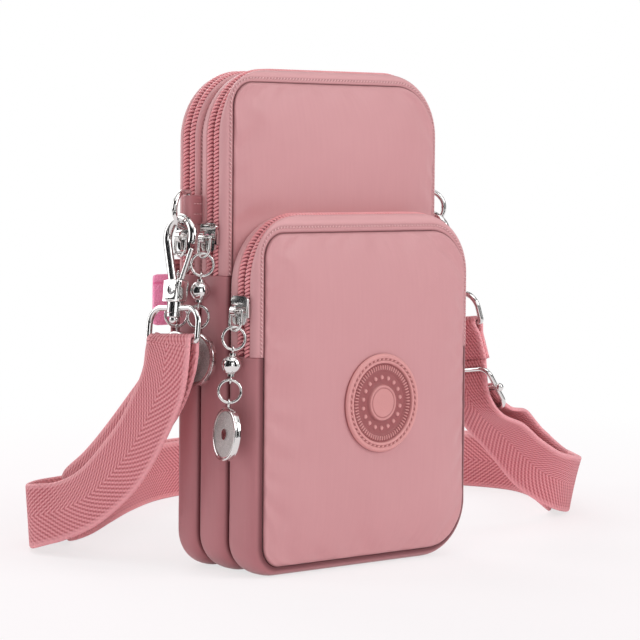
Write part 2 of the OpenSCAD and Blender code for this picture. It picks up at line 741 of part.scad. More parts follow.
module hook() {
    head_low = collar_low - head_gap - stud_head_t;
    color(chrome) {
        hook_bow();
        hook_block();
        translate([0, 0, head_low + stud_head_t / 2])
            cylinder(h = block_low - head_low - stud_head_t / 2 + cut / 2, r = stud_r, $fn = fine);
        translate([0, 0, head_low]) cylinder(h = stud_head_t, r = stud_head_r, $fn = fine);
        translate([0, 0, head_low - ball_r / 2]) sphere(ball_r, $fn = fine);
    }
}
gate_tip = [
    0, -bow_r * cos(nose_turn), bow_w - bow_r * sin(nose_turn) - bow_wire / 2 - gate_r - gate_gap
];
module gate() {
    hub_x = side_gap - slot_w / 2;
    pivot = [0, rivet_y, rivet_w];
    along = unit(gate_tip - pivot);
    color(chrome) {
        difference() {
            translate([hub_x, rivet_y, rivet_w]) rotate([0, 90, 0])
                cylinder(h = hub_t, r = hub_r, $fn = fine);
            translate([hub_x - cut, rivet_y, rivet_w]) rotate([0, 90, 0])
                cylinder(h = hub_t + 2 * cut, r = rivet_r + fit, $fn = fine);
        }
        rod(pivot + gate_start * along, gate_tip, 2 * gate_r);
        translate(gate_tip) sphere(gate_r, $fn = small);
    }
}
module rivet() {
    color(chrome) translate([0, rivet_y, rivet_w]) rotate([0, 90, 0]) {
        translate([0, 0, -block_t / 2 - rivet_head])
            cylinder(h = block_t + 2 * rivet_head, r = rivet_r, $fn = small);
        for (s = [0, 1]) mirror([0, 0, s]) translate([0, 0, block_t / 2])
            cylinder(h = rivet_head, r = rivet_r + rivet_head_out, $fn = small);
    }
}
module gate_spring() {
    inner_r = rivet_r + spring_fit;
    color(coin_grey) translate([slot_w / 2 - side_gap - spring_t, rivet_y, rivet_w])
        rotate([0, 90, 0])
        difference() {
            cylinder(h = spring_t, r = inner_r + spring_wall, $fn = small);
            translate([0, 0, -cut]) cylinder(h = spring_t + 2 * cut, r = inner_r, $fn = small);
        }
}
// Swivel ring: a collar round the hook's stud and a rounded frame with a straight bar for the webbing
module swivel_ring() {
    a = swivel_half - swivel_top_r;
    b = swivel_half - swivel_low_r;
    color(chrome) difference() {
        union() {
            translate([0, 0, collar_low]) cylinder(h = collar_top - collar_low, r = collar_r, $fn = fine);
            rotate([0, 0, 90]) {
                rod([-a, 0, swivel_top], [a, 0, swivel_top], swivel_wire);
                rod([-b, 0, swivel_bar], [b, 0, swivel_bar], swivel_wire);
                for (s = [-1, 1])
                    rod([s * swivel_half, 0, swivel_top - swivel_top_r],
                        [s * swivel_half, 0, swivel_bar + swivel_low_r], swivel_wire);
                translate([a, 0, swivel_top - swivel_top_r]) wire_arc(swivel_top_r, swivel_wire, 0, 90);
                translate([-a, 0, swivel_top - swivel_top_r]) wire_arc(swivel_top_r, swivel_wire, 90, 90);
                translate([b, 0, swivel_bar + swivel_low_r]) wire_arc(swivel_low_r, swivel_wire, -90, 90);
                translate([-b, 0, swivel_bar + swivel_low_r]) wire_arc(swivel_low_r, swivel_wire, 180, 90);
            }
        }
        translate([0, 0, collar_low - cut])
            cylinder(h = collar_top - collar_low + 2 * cut, r = stud_r + fit, $fn = fine);
    }
}
// Where each D-ring's lower arm carries its hook
hook_drop = d_bow_r * cos(asin((hook_at - d_arm) / d_bow_r));
left_hook_place = [
    -d_bar_x - hook_at * cos(left_d_turn), d_bar_y - hook_at * sin(left_d_turn), d_bar_z - hook_drop
];
right_hook_place = [
    d_bar_x + hook_at * cos(right_d_turn), d_bar_y - hook_at * sin(right_d_turn), d_bar_z - hook_drop
];
module on_left_hook() { translate(left_hook_place) rotate(left_lean) children(); }
module on_right_hook() { translate(right_hook_place) rotate(right_lean) children(); }
module left_hook() { on_left_hook() hook(); }
module left_gate() { on_left_hook() gate(); }
module left_rivet() { on_left_hook() rivet(); }
module left_gate_spring() { on_left_hook() gate_spring(); }
module left_swivel_ring() { on_left_hook() swivel_ring(); }
module right_hook() { on_right_hook() hook(); }
module right_gate() { on_right_hook() gate(); }
module right_rivet() { on_right_hook() rivet(); }
module right_gate_spring() { on_right_hook() gate_spring(); }
module right_swivel_ring() { on_right_hook() swivel_ring(); }

// Webbing: a flat band swept along a route, its width kept square to the route
function unit(v) = v / norm(v);
function spot(route, i) = let (p = route[max(0, min(len(route) - 1, i))]) [p[0], p[1], p[2]];
function width_at(route, i) = let (p = route[max(0, min(len(route) - 1, i))]) unit([p[3], p[4], p[5]]);
function smooth(a, b, c, d, t) =
    0.5 * (2 * b + (c - a) * t + (2 * a - 5 * b + 4 * c - d) * t * t + (3 * b - a - 3 * c + d) * t * t * t);
function track(route, i, t) =
    smooth(spot(route, i - 1), spot(route, i), spot(route, i + 1), spot(route, i + 2), t);
function heading(route, i, t) =
    unit(track(route, i, min(1, t + 0.01)) - track(route, i, max(0, t - 0.01)));
function webbing_section(p, along, wide) =
    let (
        w = unit(wide - (wide * along) * along),
        n = cross(along, w),
        a = strap_w / 2,
        b = strap_t / 2,
        c = strap_t / 3
    )
    [
        for (s = [1, -1], q = [[a - c, b], [a, b - c], [a, c - b], [a - c, -b]])
            p + s * q[0] * w + s * q[1] * n
    ];
function webbing_rings(route) = concat(
    [
        for (i = [0 : len(route) - 2])
            webbing_section(spot(route, i), heading(route, i, 0), width_at(route, i))
    ],
    [
        let (k = len(route) - 2)
        webbing_section(spot(route, k + 1), heading(route, k, 1), width_at(route, k + 1))
    ]
);
module webbing(route) {
    rings = webbing_rings(route);
    sides = 8;
    last = len(rings) - 1;
    points = [for (ring = rings, p = ring) p];
    around = [
        for (i = [0 : last - 1], j = [0 : sides - 1])
            let (k = (j + 1) % sides, a = i * sides, b = a + sides)
            each [[a + j, a + k, b + k], [a + j, b + k, b + j]]
    ];
    ends = [
        [for (j = [sides - 1 : -1 : 0]) j],
        [for (j = [0 : sides - 1]) last * sides + j]
    ];
    color(webbing_pink) polyhedron(points, concat(around, ends), convexity = 10);
}
module strap_outer_leaf() { webbing(outer_route); }
module strap_inner_leaf() { webbing(inner_route); }

// Where the webbing turns over a swivel ring's bar: half a sleeve, with its legs hanging down
turn_fit = 0.15;
end_drop = 15;                              // length of the sewn end below the ring's bar
end_neck = 5;                               // where its two layers come together
turn_out = strap_t + swivel_wire / 2 + turn_fit;
module sleeve(drop) {
    difference() {
        union() {
            circle(turn_out, $fn = small);
            translate([-turn_out, -drop]) square([2 * turn_out, drop]);
        }
        circle(turn_out - strap_t, $fn = small);
        translate([strap_t - turn_out, -drop - cut]) square([2 * (turn_out - strap_t), drop + cut]);
    }
}
module over_bar() {
    translate([0, strap_w / 2, swivel_bar]) rotate([90, 0, 0]) linear_extrude(strap_w) children();
}
module strap_turn() {
    color(webbing_pink) on_left_hook() over_bar() sleeve(strap_t / 2);
}
// The strap's sewn end: over the right-hand swivel ring and doubled down to the strap slider
module strap_end_loop() {
    color(webbing_pink) on_right_hook() over_bar() {
        sleeve(end_neck);
        translate([-turn_out, -end_neck - strap_t]) square([2 * turn_out, strap_t]);
        translate([-strap_t, -end_drop]) square([2 * strap_t, end_drop - end_neck]);
    }
}

// Strap slider: a wire frame that the webbing is threaded through, a bar and its ball ends
module on_strap_slider() { translate(glide_at) rotate(glide_turn) rotate([0, 0, 90]) children(); }
module strap_slider_frame() {
    a = glide_w / 2;
    b = glide_h / 2;
    color(chrome) on_strap_slider() {
        for (s = [-1, 1]) {
            rod([glide_r - a, 0, s * b], [a - glide_r, 0, s * b], glide_wire);
            rod([s * a, 0, glide_r - b], [s * a, 0, b - glide_r], glide_wire);
            translate([s * (a + glide_wire / 2 + glide_ball / 2), 0, 0]) sphere(glide_ball, $fn = small);
        }
        for (i = [0 : 3])
            translate([(i == 0 || i == 3 ? 1 : -1) * (a - glide_r), 0, (i < 2 ? 1 : -1) * (b - glide_r)])
                wire_arc(glide_r, glide_wire, 90 * i, 90);
    }
}
module strap_slider_bar() {
    a = glide_w / 2 - glide_wire / 2 + bar_seat;
    color(chrome) on_strap_slider() rod([-a, 0, 0], [a, 0, 0], glide_wire);
}

// Elastic arm band across the back, with the hook-and-loop tab past its left end
band_y = rear_back_y + back_crown + slab + band_gap;
module arm_band() {
    color(satin_dark) translate([-half_w - band_over, band_y, band_z - band_w / 2])
        cube([body_w + 2 * band_over, band_t, band_w]);
}
module arm_band_tab() {
    color(hot_pink) translate([-half_w - tab_out, band_y, band_z - band_tab_w / 2])
        cube([tab_out - band_over, band_t, band_tab_w]);
}

back_panel();
divider_panel();
main_front_panel();
pocket_front_panel();
pocket_patch();
rear_gusset();
rear_zip_facing();
rear_zip_tape();
rear_zip_coils();
rear_zip_slider();
middle_gusset();
middle_zip_facing();
middle_zip_tape();
middle_zip_coils();
middle_zip_slider();
pocket_gusset();
pocket_zip_facing();
pocket_zip_tape();
pocket_zip_coils();
pocket_zip_slider();
rear_pull_loop();
rear_upper_ring();
rear_bead();
rear_lower_ring();
rear_coin();
middle_pull_loop();
middle_upper_ring();
middle_bead();
middle_lower_ring();
middle_coin();
pocket_pull_loop();
pocket_upper_ring();
pocket_bead();
pocket_lower_ring();
pocket_coin();
left_ring_tab();
left_d_ring();
left_hook();
left_gate();
left_rivet();
left_gate_spring();
left_swivel_ring();
right_ring_tab();
right_d_ring();
right_hook();
right_gate();
right_rivet();
right_gate_spring();
right_swivel_ring();
strap_outer_leaf();
strap_inner_leaf();
strap_turn();
strap_end_loop();
strap_slider_frame();
strap_slider_bar();
arm_band();
arm_band_tab();
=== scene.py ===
# %% [markdown]
# Phone pouch
#
# A small pouch of padded satin with three zipped compartments, worn on a webbing strap. The packed
# model gives every piece its size and place. This file gives each one its real form and finish:
# puffed fabric, zip teeth, woven webbing, sewn tabs and polished metal.

import bmesh
import bpy
import numpy as np
from mathutils import Euler, Matrix, Vector


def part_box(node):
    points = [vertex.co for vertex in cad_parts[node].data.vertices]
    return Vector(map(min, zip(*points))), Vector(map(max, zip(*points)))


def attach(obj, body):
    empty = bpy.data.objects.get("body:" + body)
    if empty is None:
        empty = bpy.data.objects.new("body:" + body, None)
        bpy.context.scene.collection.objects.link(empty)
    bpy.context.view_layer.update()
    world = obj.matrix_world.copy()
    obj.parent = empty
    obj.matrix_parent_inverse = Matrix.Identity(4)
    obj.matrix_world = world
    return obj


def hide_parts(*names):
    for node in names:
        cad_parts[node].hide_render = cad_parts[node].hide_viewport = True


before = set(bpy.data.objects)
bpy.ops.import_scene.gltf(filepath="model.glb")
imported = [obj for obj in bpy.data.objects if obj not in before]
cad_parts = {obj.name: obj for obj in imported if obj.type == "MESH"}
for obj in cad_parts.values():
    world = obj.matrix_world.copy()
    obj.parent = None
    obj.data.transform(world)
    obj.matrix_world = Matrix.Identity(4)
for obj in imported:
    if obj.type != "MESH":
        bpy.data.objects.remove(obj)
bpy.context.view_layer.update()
scene = bpy.context.scene
mm = 0.001

# %% [markdown]
# The camera stands to the left of the pouch's front, a little above its middle, a metre away with a
# long lens. Its place was fitted to the outlines, seams and zips, so it is given as plain places.

# %% Camera
camera_place = Vector((-669.0, -741.2, 154.2)) * mm
camera_aim = Vector((-2.94, -3.0, 91.8)) * mm
camera_roll = np.radians(0.47)
focal_pixels = 2619.23
frame_pixels = 640

lens = bpy.data.cameras.new("camera")
lens.sensor_width = 36
lens.lens = focal_pixels / frame_pixels * lens.sensor_width
lens.clip_start = 0.01
camera = bpy.data.objects.new("camera", lens)
scene.collection.objects.link(camera)
look = (camera_aim - camera_place).to_track_quat("-Z", "Y")
camera.rotation_mode = "QUATERNION"
camera.rotation_quaternion = look @ Euler((0, 0, camera_roll)).to_quaternion()
camera.location = camera_place
scene.camera = camera
scene.view_settings.view_transform = "Standard"

# %% [markdown]
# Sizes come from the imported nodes: the divider's box is the seam line of the tall compartments, and
# each zip's own boxes say where its coil, facing and gusset lie.

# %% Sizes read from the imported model
def span(node):
    """The lowest and highest corner of a node's box as two arrays."""
    low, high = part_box(node)
    return np.array(low), np.array(high)


seam_box = span("divider_panel")
half_w = seam_box[1][0]
seam_low = seam_box[0][2]
tall_seam = seam_box[1][2]
pocket_seam = span("pocket_front_panel")[1][2]
pocket_front_y = span("pocket_front_panel")[1][1]
main_front_y = span("main_front_panel")[1][1]
rear_front_y = seam_box[1][1]
rear_back_y = span("back_panel")[0][1]
middle_back_y = seam_box[0][1]
wall = 1.2 * mm
top_r = 22 * mm
bottom_r = 18 * mm
pocket_low_r = 8 * mm
main_low_r = 9 * mm
rear_low_r = 10 * mm
top_corners = {"pocket": (18 * mm, 9 * mm), "middle": (20 * mm, 9 * mm), "rear": (top_r, top_r)}
painted_shade_w = 0.7 * mm
panel_crown = pocket_front_y - span("pocket_front_panel")[0][1]
print("panels", round(2 * half_w / mm), "mm wide, seams to", round(tall_seam / mm), "mm high")


# %% [markdown]
# Most pieces here are grids: a shape is a function of two numbers, worked out for the whole grid at
# once. One helper turns such a grid into a mesh, joins its edges where it closes, makes the faces
# point away from a chosen inside point, and lays a map in metres for the weave. Points could be moved
# by hand as well, but a formula is exact, and one number in it changes the whole form.

# %% Small helpers for numbers
def unit(vectors):
    """Each vector divided by its own length."""
    return vectors / np.linalg.norm(vectors, axis=-1, keepdims=True)


def way_along(line):
    """The distance from a line's first point to each of its points, along the line."""
    return np.concatenate([[0], np.cumsum(np.linalg.norm(np.diff(line, axis=0), axis=-1))])


def circle(count):
    """Angles at even steps once round."""
    return np.linspace(0, 2 * np.pi, count, endpoint=False)


def signed_power(value, exponent):
    """A value's size raised to a power, with the value's sign."""
    return np.sign(value) * np.abs(value) ** exponent


def joined(*coordinates):
    """One grid of points from coordinates that are each given by row, by column or for both."""
    return np.stack(np.broadcast_arrays(*coordinates), -1)


# %% Grid to mesh
def grid_faces(rows, columns, wrap_rows=False, wrap_columns=False):
    """Four corners of each cell: (i, j), (i+1, j), (i+1, j+1), (i, j+1), counted round where it wraps."""
    i = np.arange(rows if wrap_rows else rows - 1)[:, None]
    j = np.arange(columns if wrap_columns else columns - 1)[None, :]
    i2 = (i + 1) % rows
    j2 = (j + 1) % columns
    cells = np.stack([i * columns + j, i2 * columns + j, i2 * columns + j2, i * columns + j2], -1)
    return cells.reshape(-1, 4)


def make_mesh(name, points, faces, uv=None, smooth=True):
    """A mesh object from an array of points and lists of corners, with a map value for each point."""
    mesh = bpy.data.meshes.new(name)
    mesh.from_pydata(np.asarray(points, float).reshape(-1, 3).tolist(), [], [list(f) for f in faces])
    if uv is not None:
        layer = mesh.uv_layers.new(name="UVMap")
        corners = np.zeros(len(mesh.loops), np.int32)
        mesh.loops.foreach_get("vertex_index", corners)
        layer.data.foreach_set("uv", np.asarray(uv, np.float32).reshape(-1, 2)[corners].ravel())
    mesh.polygons.foreach_set("use_smooth", [smooth] * len(mesh.polygons))
    mesh.update()
    piece = bpy.data.objects.new(name, mesh)
    scene.collection.objects.link(piece)
    return piece


def keep_mask(piece, name, values):
    """Stores a value for each point of a piece, for its finish to read."""
    layer = piece.data.attributes.new(name, "FLOAT", "POINT")
    layer.data.foreach_set("value", np.asarray(values, np.float32).ravel())


def faces_out(points, faces, inside):
    """The faces as they are, or all turned over if they look towards the inside point on the whole."""
    p = np.asarray(points).reshape(-1, 3)
    a, b, c, d = (p[faces[:, k]] for k in range(4))
    normal = np.cross(c - a, d - b)
    middle = (a + b + c + d) / 4 - np.asarray(inside)
    return faces if (normal * middle).sum() > 0 else faces[:, ::-1]


def run_lengths(points):
    """Length along each row and each column of a grid, in metres, for its map."""
    along = np.linalg.norm(np.diff(points, axis=0), axis=-1).mean(1)
    across = np.linalg.norm(np.diff(points, axis=1), axis=-1).mean(0)
    u = np.concatenate([[0], np.cumsum(along)])
    v = np.concatenate([[0], np.cumsum(across)])
    return joined(u[:, None], v[None, :])


def sheet_piece(name, points, inside):
    """A grid surface that faces away from the inside point."""
    faces = faces_out(points, grid_faces(*points.shape[:2]), inside)
    return make_mesh(name, points, faces, run_lengths(points))


def closed_out(piece):
    """Makes a closed piece's faces point outwards."""
    shell = bmesh.new()
    shell.from_mesh(piece.data)
    bmesh.ops.recalc_face_normals(shell, faces=shell.faces)
    shell.to_mesh(piece.data)
    shell.free()
    return piece


# %% What a piece rides on and its finish
def belongs(piece, body, finish, replaces=()):
    """Says what a new piece rides on, its finish and the nodes it stands for."""
    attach(piece, body)
    piece.data.materials.append(finish)
    if replaces:
        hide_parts(*replaces)
    return piece


# %% Tubes, and rows of small tubes
def evenly(line, out, pitch):
    """Places, headings and outward directions at even steps along a line of points."""
    step = way_along(line)
    count = max(1, int(round(step[-1] / pitch)))
    at = (np.arange(count) + 0.5) * step[-1] / count
    slope = np.gradient(line, step, axis=0)
    spots = [np.stack([np.interp(at, step, f[:, k]) for k in range(3)], -1) for f in (line, slope, out)]
    head = unit(spots[1])
    rise = unit(spots[2] - (spots[2] * head).sum(-1, keepdims=True) * head)
    return spots[0], head, rise


def tube_faces(rings, sides):
    """Faces of a tube whose points go ring by ring, with both ends closed."""
    faces = [list(f) for f in grid_faces(rings, sides, wrap_columns=True)]
    return faces + [list(range(sides)), [(rings - 1) * sides + k for k in reversed(range(sides))]]


def repeated(name, shape, place, head, out):
    """One mesh of many small closed tubes: the shape's points are (along, out, across), and every copy
    is placed by its own place, heading and outward direction."""
    rings, sides = shape.shape[:2]
    flat = shape.reshape(1, -1, 3)
    across = np.cross(head, out)
    points = (
        place[:, None] + flat[..., :1] * head[:, None]
        + flat[..., 1:2] * out[:, None] + flat[..., 2:] * across[:, None]
    )
    faces = np.array([f for f in tube_faces(rings, sides) if len(f) == 4])
    caps = [f for f in tube_faces(rings, sides) if len(f) != 4]
    shifts = np.arange(len(place)) * rings * sides
    quads = (faces[None] + shifts[:, None, None]).reshape(-1, 4).tolist()
    ends = [[v + int(k) for v in f] for k in shifts for f in caps]
    return closed_out(make_mesh(name, points, quads + ends))


def tube_piece(name, points, uv=None):
    """A closed piece from rings of points that follow one another."""
    return closed_out(make_mesh(name, points, tube_faces(*points.shape[:2]), uv))


def stitch_row(name, line, out, finish, pitch, share, thick, slant=0.0):
    """A row of stitches: each thread rises from the cloth and dips back in. Along it runs s from -1 to
    1, its middle stands thick times (0.35 - s to the 4th) over the line, and it thins at both ends.
    It takes up a share of the pitch, and the slant turns it about the outward direction."""
    place, head, rise = evenly(line, out, pitch)
    head = np.cos(slant) * head + np.sin(slant) * np.cross(rise, head)
    s = np.linspace(-1, 1, 5)[:, None]
    around = circle(6)[None, :]
    radius = thick / 2 * np.sqrt(1 - 0.6 * s**2)
    shape = joined(
        s * pitch * share / 2,
        thick * (0.35 - s**4) + radius * np.sin(around),
        radius * np.cos(around),
    )
    return belongs(repeated(name, shape, place, head, rise), "pouch", finish)


# %% [markdown]
# Finishes come next. Small helpers keep them short: one adds a node and joins its inputs, one does a
# step of arithmetic, one mixes two colours and one starts a group that several finishes share.

# %% Helpers for finishes
def sees(red, green, blue):
    """A colour given as it looks on a screen, 0 to 255, turned to the light values Blender works in."""
    share = np.array([red, green, blue]) / 255
    light = np.where(share <= 0.04045, share / 12.92, ((share + 0.055) / 1.055) ** 2.4)
    return (*light.tolist(), 1.0)


def add(tree, kind, inputs=None, **settings):
    """Adds one node, with its settings, and with inputs that are values or other nodes' sockets."""
    made = tree.nodes.new(kind)
    for key, value in settings.items():
        setattr(made, key, value)
    for key, value in (inputs or {}).items():
        if isinstance(value, bpy.types.NodeSocket):
            tree.links.new(value, made.inputs[key])
        else:
            made.inputs[key].default_value = value
    return made


def calc(tree, operation, *values):
    """One step of arithmetic on numbers or sockets."""
    return add(tree, "ShaderNodeMath", dict(enumerate(values)), operation=operation).outputs[0]


def times(tree, first, second):
    """The product of two numbers or sockets."""
    return calc(tree, "MULTIPLY", first, second)


def mixed(tree, share, first, second):
    """Two colours mixed by a share."""
    return add(tree, "ShaderNodeMix", {0: share, 6: first, 7: second}, data_type="RGBA").outputs[2]


def noise(tree, vector, scale, detail, **more):
    """Noise from nought to one."""
    inputs = {"Vector": vector, "Scale": scale, "Detail": detail, **more}
    return add(tree, "ShaderNodeTexNoise", inputs).outputs["Fac"]


def stretched(tree, vector, scale, turn=(0, 0, 0)):
    """A place scaled along each axis and then turned. Noise on it is drawn out along the axis with the
    smallest scale."""
    inputs = {"Vector": vector, "Rotation": turn, "Scale": scale}
    return add(tree, "ShaderNodeMapping", inputs).outputs[0]


def wave(tree, operation, place, pitch, turn):
    """The sine or cosine of a place that is counted in pitches, with an angle for each pitch."""
    return calc(tree, operation, times(tree, calc(tree, "DIVIDE", place, pitch), turn))


def new_group(name, inputs, outputs):
    """An empty shader group with named sockets: v for a vector and f for a number."""
    tree = bpy.data.node_groups.new(name, "ShaderNodeTree")
    kinds = {"v": "NodeSocketVector", "f": "NodeSocketFloat"}
    for side, sockets in (("INPUT", inputs), ("OUTPUT", outputs)):
        for label, kind in sockets.items():
            tree.interface.new_socket(label, in_out=side, socket_type=kinds[kind])
    return tree, tree.nodes.new("NodeGroupInput").outputs, tree.nodes.new("NodeGroupOutput").inputs


def gives(tree, outputs, **sockets):
    """Joins sockets to a group's outputs by name, and hands the group back."""
    for label, socket in sockets.items():
        tree.links.new(socket, outputs[label])
    return tree


# %% [markdown]
# Four effects are shared. Mottle is slow, cloudy change, as in any dyed cloth. Weave is the over and
# under of two sets of threads, with the odd thicker thread. Herringbone is the pattern of the strap.
# Marks are the fine smudges and hairlines that make plated metal look handled.

# %% Shared effects
def make_mottle():
    """Cloud is slow noise, Grain is noise seventy times finer."""
    tree, given, result = new_group("mottle", {"Vector": "v", "Scale": "f"}, {"Cloud": "f", "Grain": "f"})
    cloud = noise(tree, given["Vector"], given["Scale"], 3.0, Roughness=0.55)
    grain = noise(tree, given["Vector"], times(tree, given["Scale"], 70.0), 2.0)
    return gives(tree, result, Cloud=cloud, Grain=grain)


def make_weave():
    """Height is sin(x) times sin(y), in threads, which is high where one set of threads passes over
    and low where it passes under. Slub is noise drawn out along the threads."""
    tree, given, result = new_group("weave", {"Vector": "v", "Pitch": "f"}, {"Height": "f", "Slub": "f"})
    split = add(tree, "ShaderNodeSeparateXYZ", {0: given["Vector"]}).outputs
    over = times(tree, *(wave(tree, "SINE", split[axis], given["Pitch"], np.pi) for axis in (0, 1)))
    slub = noise(tree, stretched(tree, given["Vector"], (60, 900, 60)), 1.0, 2.0)
    return gives(tree, result, Height=calc(tree, "MULTIPLY_ADD", over, 0.5, 0.5), Slub=slub)


def make_herringbone():
    """Ridges run at a slant from the middle line to both edges: their phase is the distance along plus
    a slope times the distance from the middle line. Threads cross them, and dip between themselves."""
    tree, given, result = new_group(
        "herringbone", {"Vector": "v", "Ridge": "f", "Slope": "f", "Thread": "f"},
        {"Height": "f", "Ridge": "f", "Dots": "f"},
    )
    split = add(tree, "ShaderNodeSeparateXYZ", {0: given["Vector"]}).outputs
    slant = times(tree, calc(tree, "ABSOLUTE", split[1]), given["Slope"])
    swing = wave(tree, "COSINE", calc(tree, "ADD", split[0], slant), given["Ridge"], 2 * np.pi)
    ridge = calc(tree, "MULTIPLY_ADD", swing, 0.5, 0.5)
    threads = [wave(tree, "SINE", split[axis], given["Thread"], np.pi) for axis in (0, 1)]
    dots = calc(tree, "SQRT", times(tree, *(calc(tree, "ABSOLUTE", thread) for thread in threads)))
    height = calc(tree, "MULTIPLY_ADD", dots, 0.45, times(tree, ridge, 0.55))
    return gives(tree, result, Height=height, Ridge=ridge, Dots=dots)


def make_marks():
    """Smudge is soft noise. Hairline is noise drawn out so far along one axis that it makes scratches."""
    tree, given, result = new_group("marks", {"Vector": "v"}, {"Smudge": "f", "Hairline": "f"})
    hairline = noise(tree, stretched(tree, given["Vector"], (4000, 3000, 90)), 1.0, 1.0)
    return gives(tree, result, Smudge=noise(tree, given["Vector"], 320.0, 4.0), Hairline=hairline)


mottle = make_mottle()
weave = make_weave()
herringbone = make_herringbone()
marks = make_marks()


# %% [markdown]
# Each finish is one short function. Pictures of cloth and metal would be quicker to use, but noise and
# waves need no files, don't repeat and stay sharp close up. Cloth takes its thread directions from the
# piece's own map, which is in metres. Hard parts use Object coordinates, which are metres too.

# %% Helpers for materials
def start(name, **constants):
    """A new material whose constant values are set on its shader's own sockets."""
    material = bpy.data.materials.new(name)
    material.use_nodes = True
    tree = material.node_tree
    for label, value in constants.items():
        tree.nodes["Principled BSDF"].inputs[label.replace("_", " ")].default_value = value
    return material, tree, tree.nodes.new("ShaderNodeTexCoord").outputs


def use(tree, group, **inputs):
    """Places a shared group in a material."""
    return add(tree, "ShaderNodeGroup", inputs, node_tree=group).outputs


def mask(tree, name):
    """The value that a piece keeps at each point for its finish."""
    return add(tree, "ShaderNodeAttribute", attribute_name=name).outputs["Fac"]


def bump(tree, height, depth, normal=None, strength=1.0):
    """A bump whose full height is the given depth in metres."""
    inputs = {"Height": height, "Distance": depth, "Strength": strength}
    if normal is not None:
        inputs["Normal"] = normal
    return add(tree, "ShaderNodeBump", inputs).outputs[0]


def done(material, colour, rough, normal):
    """Joins the colour, the roughness and the normal to the shader, and hands the material back. The
    roughness is given as its least value, what is added at most, and the share of that."""
    tree = material.node_tree
    shader = tree.nodes["Principled BSDF"].inputs
    least, more, share = rough
    tree.links.new(colour, shader["Base Color"])
    tree.links.new(calc(tree, "MULTIPLY_ADD", share, more, least), shader["Roughness"])
    tree.links.new(normal, shader["Normal"])
    return material


# %% [markdown]
# The cloths are a close satin with a soft shine, a coarse herringbone webbing, the zips' plain tape,
# sewing thread, fuzzy loop pile and ribbed elastic. Their threads are too fine to model, so each weave
# is a bump and a change of colour. On the webbing and the elastic that colour is partly painted light
# and shade, lighter on ridges and darker in furrows. Grooves and hems get painted shade through
# masks that the pieces carry.

# %% Cloth finishes
def satin_cloth(name, light, dark, painted_groove_shade):
    """Closely woven satin: cloudy colour, painted shade in the seams' grooves, fine threads and slubs."""
    material, tree, at = start(name, Sheen_Weight=0.18, Sheen_Roughness=0.45, Specular_IOR_Level=0.38)
    cloud = use(tree, mottle, Vector=at["Object"], Scale=22.0)
    threads = use(tree, weave, Vector=at["UV"], Pitch=0.00042)
    share = calc(tree, "MULTIPLY_ADD", threads["Slub"], 0.35, times(tree, cloud["Cloud"], 0.65))
    # Painted shade: the mask darkens the colour in the seams' grooves.
    colour = mixed(tree, mask(tree, "painted_groove_shade"), mixed(tree, share, dark, light), painted_groove_shade)
    fine = bump(tree, threads["Height"], 0.00003, strength=0.6)
    normal = bump(tree, cloud["Grain"], 0.00006, fine, 0.35)
    return done(material, colour, (0.4, 0.16, cloud["Grain"]), normal)


def strap_cloth():
    """Herringbone webbing: painted light on the ridges and as dots where threads cross, painted shade in
    the furrows, and a painted highlight along both edges.
    """
    material, tree, at = start(
        "herringbone_webbing", Sheen_Weight=0.1, Sheen_Roughness=0.4, Specular_IOR_Level=0.25
    )
    pattern = use(tree, herringbone, Vector=at["UV"], Ridge=0.0027, Slope=1.5, Thread=0.00125)
    cloud = use(tree, mottle, Vector=at["Object"], Scale=30.0)
    lit = calc(tree, "MULTIPLY_ADD", pattern["Ridge"], 0.6, times(tree, pattern["Dots"], 0.4))
    # Painted light and shade: the colour follows the ridges and thread crossings, lighter where they stand
    # up and darker in the furrows.
    woven = mixed(tree, lit, sees(176, 66, 77), sees(255, 182, 187))
    edges_painted_highlight = mixed(tree, mask(tree, "painted_edge_highlight"), woven, sees(255, 184, 189))
    colour = mixed(tree, times(tree, cloud["Cloud"], 0.25), edges_painted_highlight, sees(224, 126, 134))
    return done(material, colour, (0.5, 0.2, cloud["Grain"]), bump(tree, pattern["Height"], 0.0005))


def tape_cloth():
    """The zip's tape and the cord inside its coils: plain, close, darker weave."""
    material, tree, at = start("zip_tape_cloth", Sheen_Weight=0.15, Specular_IOR_Level=0.3)
    threads = use(tree, weave, Vector=at["Object"], Pitch=0.0005)
    cloud = use(tree, mottle, Vector=at["Object"], Scale=60.0)
    colour = mixed(tree, cloud["Cloud"], sees(138, 68, 76), sees(170, 98, 104))
    return done(material, colour, (0.6, 0.2, cloud["Grain"]), bump(tree, threads["Height"], 0.00006))


def thread_cotton():
    """Sewing thread: a twist of fibres, so its bump is noise drawn out along a slant."""
    material, tree, at = start("pale_thread", Sheen_Weight=0.4, Specular_IOR_Level=0.3)
    twist = noise(tree, stretched(tree, at["Object"], (9000, 900, 9000), (0.6, 0.5, 0.4)), 0.5, 1.0)
    colour = mixed(tree, twist, sees(214, 158, 160), sees(244, 206, 206))
    return done(material, colour, (0.5, 0.2, twist), bump(tree, twist, 0.00005))


def fuzzy_loops():
    """The loop side of hook and loop: matt, a felt of tiny curls. A faint pink glow is painted light that
    brightens it in the shade where it hangs, and its hem has painted shade."""
    material, tree, at = start(
        "loop_pile_pink_painted_glow", Sheen_Weight=0.6, Sheen_Roughness=0.5, Specular_IOR_Level=0.1,
        # Painted light: a faint pink glow that brightens the tab in the shade where it hangs.
        Emission_Color=sees(255, 128, 176), Emission_Strength=0.24,
    )
    curls = add(tree, "ShaderNodeTexVoronoi", {"Vector": at["Object"], "Scale": 1500.0}).outputs["Distance"]
    cloud = use(tree, mottle, Vector=at["Object"], Scale=120.0)
    lit = calc(tree, "MULTIPLY_ADD", cloud["Cloud"], 0.6, times(tree, curls, 0.5))
    felt = mixed(tree, lit, sees(255, 132, 184), sees(255, 192, 220))
    # Painted shade in the hem's sunk line.
    colour = mixed(tree, mask(tree, "painted_groove_shade"), felt, sees(232, 104, 156))
    return done(material, colour, (0.85, 0.1, cloud["Grain"]), bump(tree, curls, 0.0004))


